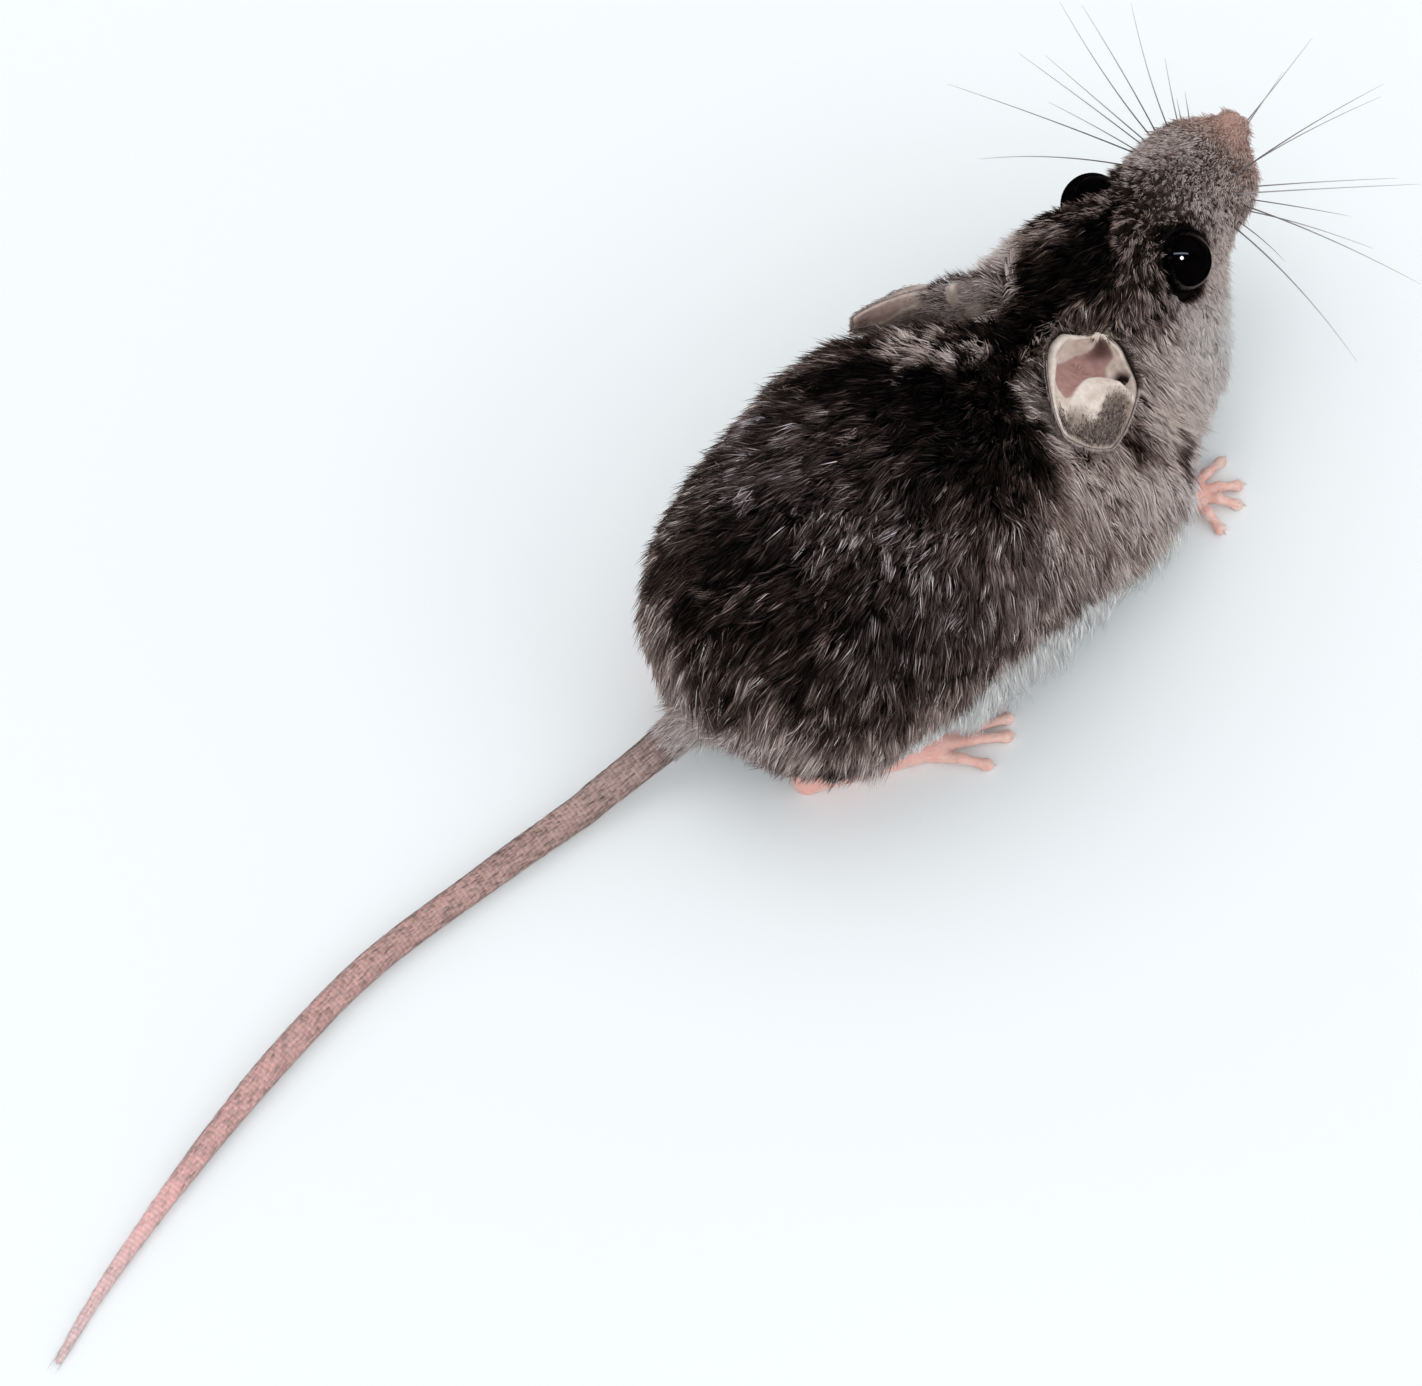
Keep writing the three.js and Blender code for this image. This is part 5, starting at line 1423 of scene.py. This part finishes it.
wm.colour(wm.ramp(f1, [(0.0, (0.04, 0.034, 0.034)), (0.5, (0.20, 0.18, 0.18)), (1.0, (0.48, 0.46, 0.46))]))
ob = mesh_object("whiskers", pts, tri, {"mark": wat}, materials=(wm.m,))
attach(ob, "root")


# ------------------------------------------------------------------ nose pad
NOSE_AT = in_head(0.2, 13.45, -1.65)
NOSE_SCALE = 0.68


def nose_field(p):
    q = (p - NOSE_AT) @ HB / NOSE_SCALE              # x left, y backward, z up
    x, y, z = q[..., 0], q[..., 1], q[..., 2]
    ax = np.abs(x)
    lobe = np.sqrt(((ax - 0.62) / 1.0) ** 2 + ((y + 0.05) / 1.0) ** 2 + (z / 0.92) ** 2) - 0.92
    core = np.sqrt((x / 1.35) ** 2 + ((y - 0.7) / 1.5) ** 2 + ((z + 0.1) / 1.25) ** 2) - 1
    d = soft(lobe, core, 0.5)
    groove = np.sqrt(x**2 + (y + 1.05) ** 2) - 0.16   # the cleft between the lobes
    d = -soft(-d, groove, 0.25)
    nostril = np.sqrt(((ax - 0.86) / 0.34) ** 2 + ((y + 0.42) / 0.5) ** 2 + ((z + 0.02 + 0.35 * (ax - 0.86)) / 0.17) ** 2) - 1
    return -soft(-d, nostril * 0.22, 0.12) * NOSE_SCALE


pts, tri = surface_net(nose_field, NOSE_AT - 2.6, NOSE_AT + 2.6, 0.085)
q = (pts - NOSE_AT) @ HB / NOSE_SCALE
# the mask wet marks the nostrils' openings, which the pad's colour darkens to near black: painted shade inside them
wet = np.clip(1 - np.sqrt(((np.abs(q[:, 0]) - 0.86) / 0.42) ** 2 + ((q[:, 1] + 0.45) / 0.6) ** 2 + ((q[:, 2] + 0.02) / 0.24) ** 2), 0, 1)
nm = Nodes("nose_skin", Roughness=0.38, Specular_IOR_Level=0.45, Subsurface_Weight=0.2, Subsurface_Scale=0.0004)
nm.bsdf.inputs["Subsurface Radius"].default_value = (1.0, 0.4, 0.3)
R, G, Bc, A = nm.attr("mark")
c = nm.ramp(nm.noise(2600, 3), [(0.3, (0.56, 0.36, 0.30)), (0.7, (0.72, 0.52, 0.45))])
# painted shade: the nostrils near black
nm.colour(nm.mix(nm.math("MULTIPLY", R, 1.6, True), c, c4(0.05, 0.015, 0.012)))
nm.bump(nm.noise(6000, 2), 0.5, 0.0001)
at = np.zeros((len(pts), 4))
at[:, 0] = wet
ob = mesh_object("nose_pad", pts, tri, {"mark": at}, materials=(nm.m,))
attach(ob, "root")


# ------------------------------------------------------------------ floor, light and camera
def floor_mesh():
    n = 40
    g = np.linspace(-450, 450, n)
    X, Y = np.meshgrid(g, g, indexing="ij")
    pts = np.stack([X.ravel(), Y.ravel(), np.zeros(n * n)], 1)
    i, j = np.meshgrid(np.arange(n - 1), np.arange(n - 1), indexing="ij")
    q = (i * n + j).ravel()
    return pts - SHIFT * [1, 1, 0], np.concatenate([np.stack([q, q + n, q + n + 1], 1), np.stack([q, q + n + 1, q + 1], 1)])


fl = Nodes("floor", Roughness=0.6, Specular_IOR_Level=0.1)
fl.colour(fl.ramp(fl.noise(6, 2), [(0.3, (0.885, 0.925, 0.945)), (0.7, (0.91, 0.945, 0.96))]))
pts, tri = floor_mesh()
pts = pts.copy()
pts[:, 2] = -SHIFT[2] - 0.02
floor = mesh_object("floor", pts, tri, materials=(fl.m,))
floor.visible_glossy = False

scene = bpy.context.scene
world = bpy.data.worlds.new("soft_light")
scene.world = world
world.use_nodes = True
world.node_tree.nodes["Background"].inputs[0].default_value = (0.97, 0.985, 1.0, 1)
world.node_tree.nodes["Background"].inputs[1].default_value = 0.90
world.cycles_visibility.glossy = False

e, h = math.radians(63), math.radians(50)
r = -(math.pi / 2 + h)
right = np.array([math.cos(r), math.sin(r), 0])
away = np.array([-math.sin(r), math.cos(r), 0])
look = away * math.cos(e) - np.array([0, 0, math.sin(e)])
up = away * math.sin(e) + np.array([0, 0, math.cos(e)])
DIST, FOCAL_PX = 420.0, 420.0 / 0.083
u, v = (700 - 711) / FOCAL_PX * DIST, -(742 - 693) / FOCAL_PX * DIST
eye_at = -(right * u + up * v + look * DIST) + SHIFT


def aim(ob, pos, forward, upward):
    from mathutils import Matrix
    z = -unit(forward)
    x = unit(np.cross(upward, z))
    y = np.cross(z, x)
    m = Matrix.Identity(4)
    for k in range(3):
        m[k][0], m[k][1], m[k][2], m[k][3] = x[k], y[k], z[k], pos[k] * 0.001
    ob.matrix_world = m


cam_data = bpy.data.cameras.new("camera")
cam_data.sensor_width = 36.0
cam_data.sensor_fit = "HORIZONTAL"
cam_data.lens = FOCAL_PX / 1422 * 36.0
cam_data.clip_start, cam_data.clip_end = 0.01, 10
cam = bpy.data.objects.new("camera", cam_data)
scene.collection.objects.link(cam)
aim(cam, eye_at, look, up)
scene.camera = cam


def lamp(name, pos, target, energy, size, colour=(1, 1, 1), glossy=False, diffuse=True):
    """a soft area lamp; size is a width, or a width and a height, in metres"""
    d = bpy.data.lights.new(name, "AREA")
    d.energy = energy
    d.color = colour
    if isinstance(size, tuple):
        d.shape = "RECTANGLE"
        d.size, d.size_y = size
    else:
        d.shape = "DISK"
        d.size = size
    o = bpy.data.objects.new(name, d)
    scene.collection.objects.link(o)
    pos, target = np.array(pos, float), np.array(target, float)
    aim(o, pos, target - pos, up)
    o.visible_glossy = glossy
    o.visible_diffuse = diffuse
    return o


mid_pt = np.array([0, -25.0, 8.0])
lamp("overhead", mid_pt + away * 160 - right * 260 + np.array([0, 0, 620]), mid_pt, 0.72, 0.55, (1.0, 0.99, 0.97))
lamp("front", mid_pt - away * 420 - right * 120 + np.array([0, 0, 520]), mid_pt, 0.25, 0.45, (0.97, 0.985, 1.0))
lamp("side", mid_pt - away * 260 + right * 420 + np.array([0, 0, 230]), mid_pt, 0.38, 0.50, (1.0, 0.99, 0.98))
# small bright lamps whose only work is the highlights on the wet eyes
head_pt = EYES["right"] + SHIFT
lamp("glint", head_pt - look * 430 + up * 40 + right * 10, head_pt, 0.8, 0.09, (1, 1, 1), True, False)
lamp("glint_bar", head_pt - look * 430 + up * 175, head_pt, 0.30, (0.42, 0.05), (0.62, 0.80, 1.0), True, False)
lamp("glint_side", head_pt - look * 120 - right * 430, head_pt, 0.18, 0.05, (0.9, 0.95, 1.0), True, False)

scene.view_settings.view_transform = "Standard"
scene.view_settings.look = "None"
scene.view_settings.exposure = 0
scene.view_settings.gamma = 1
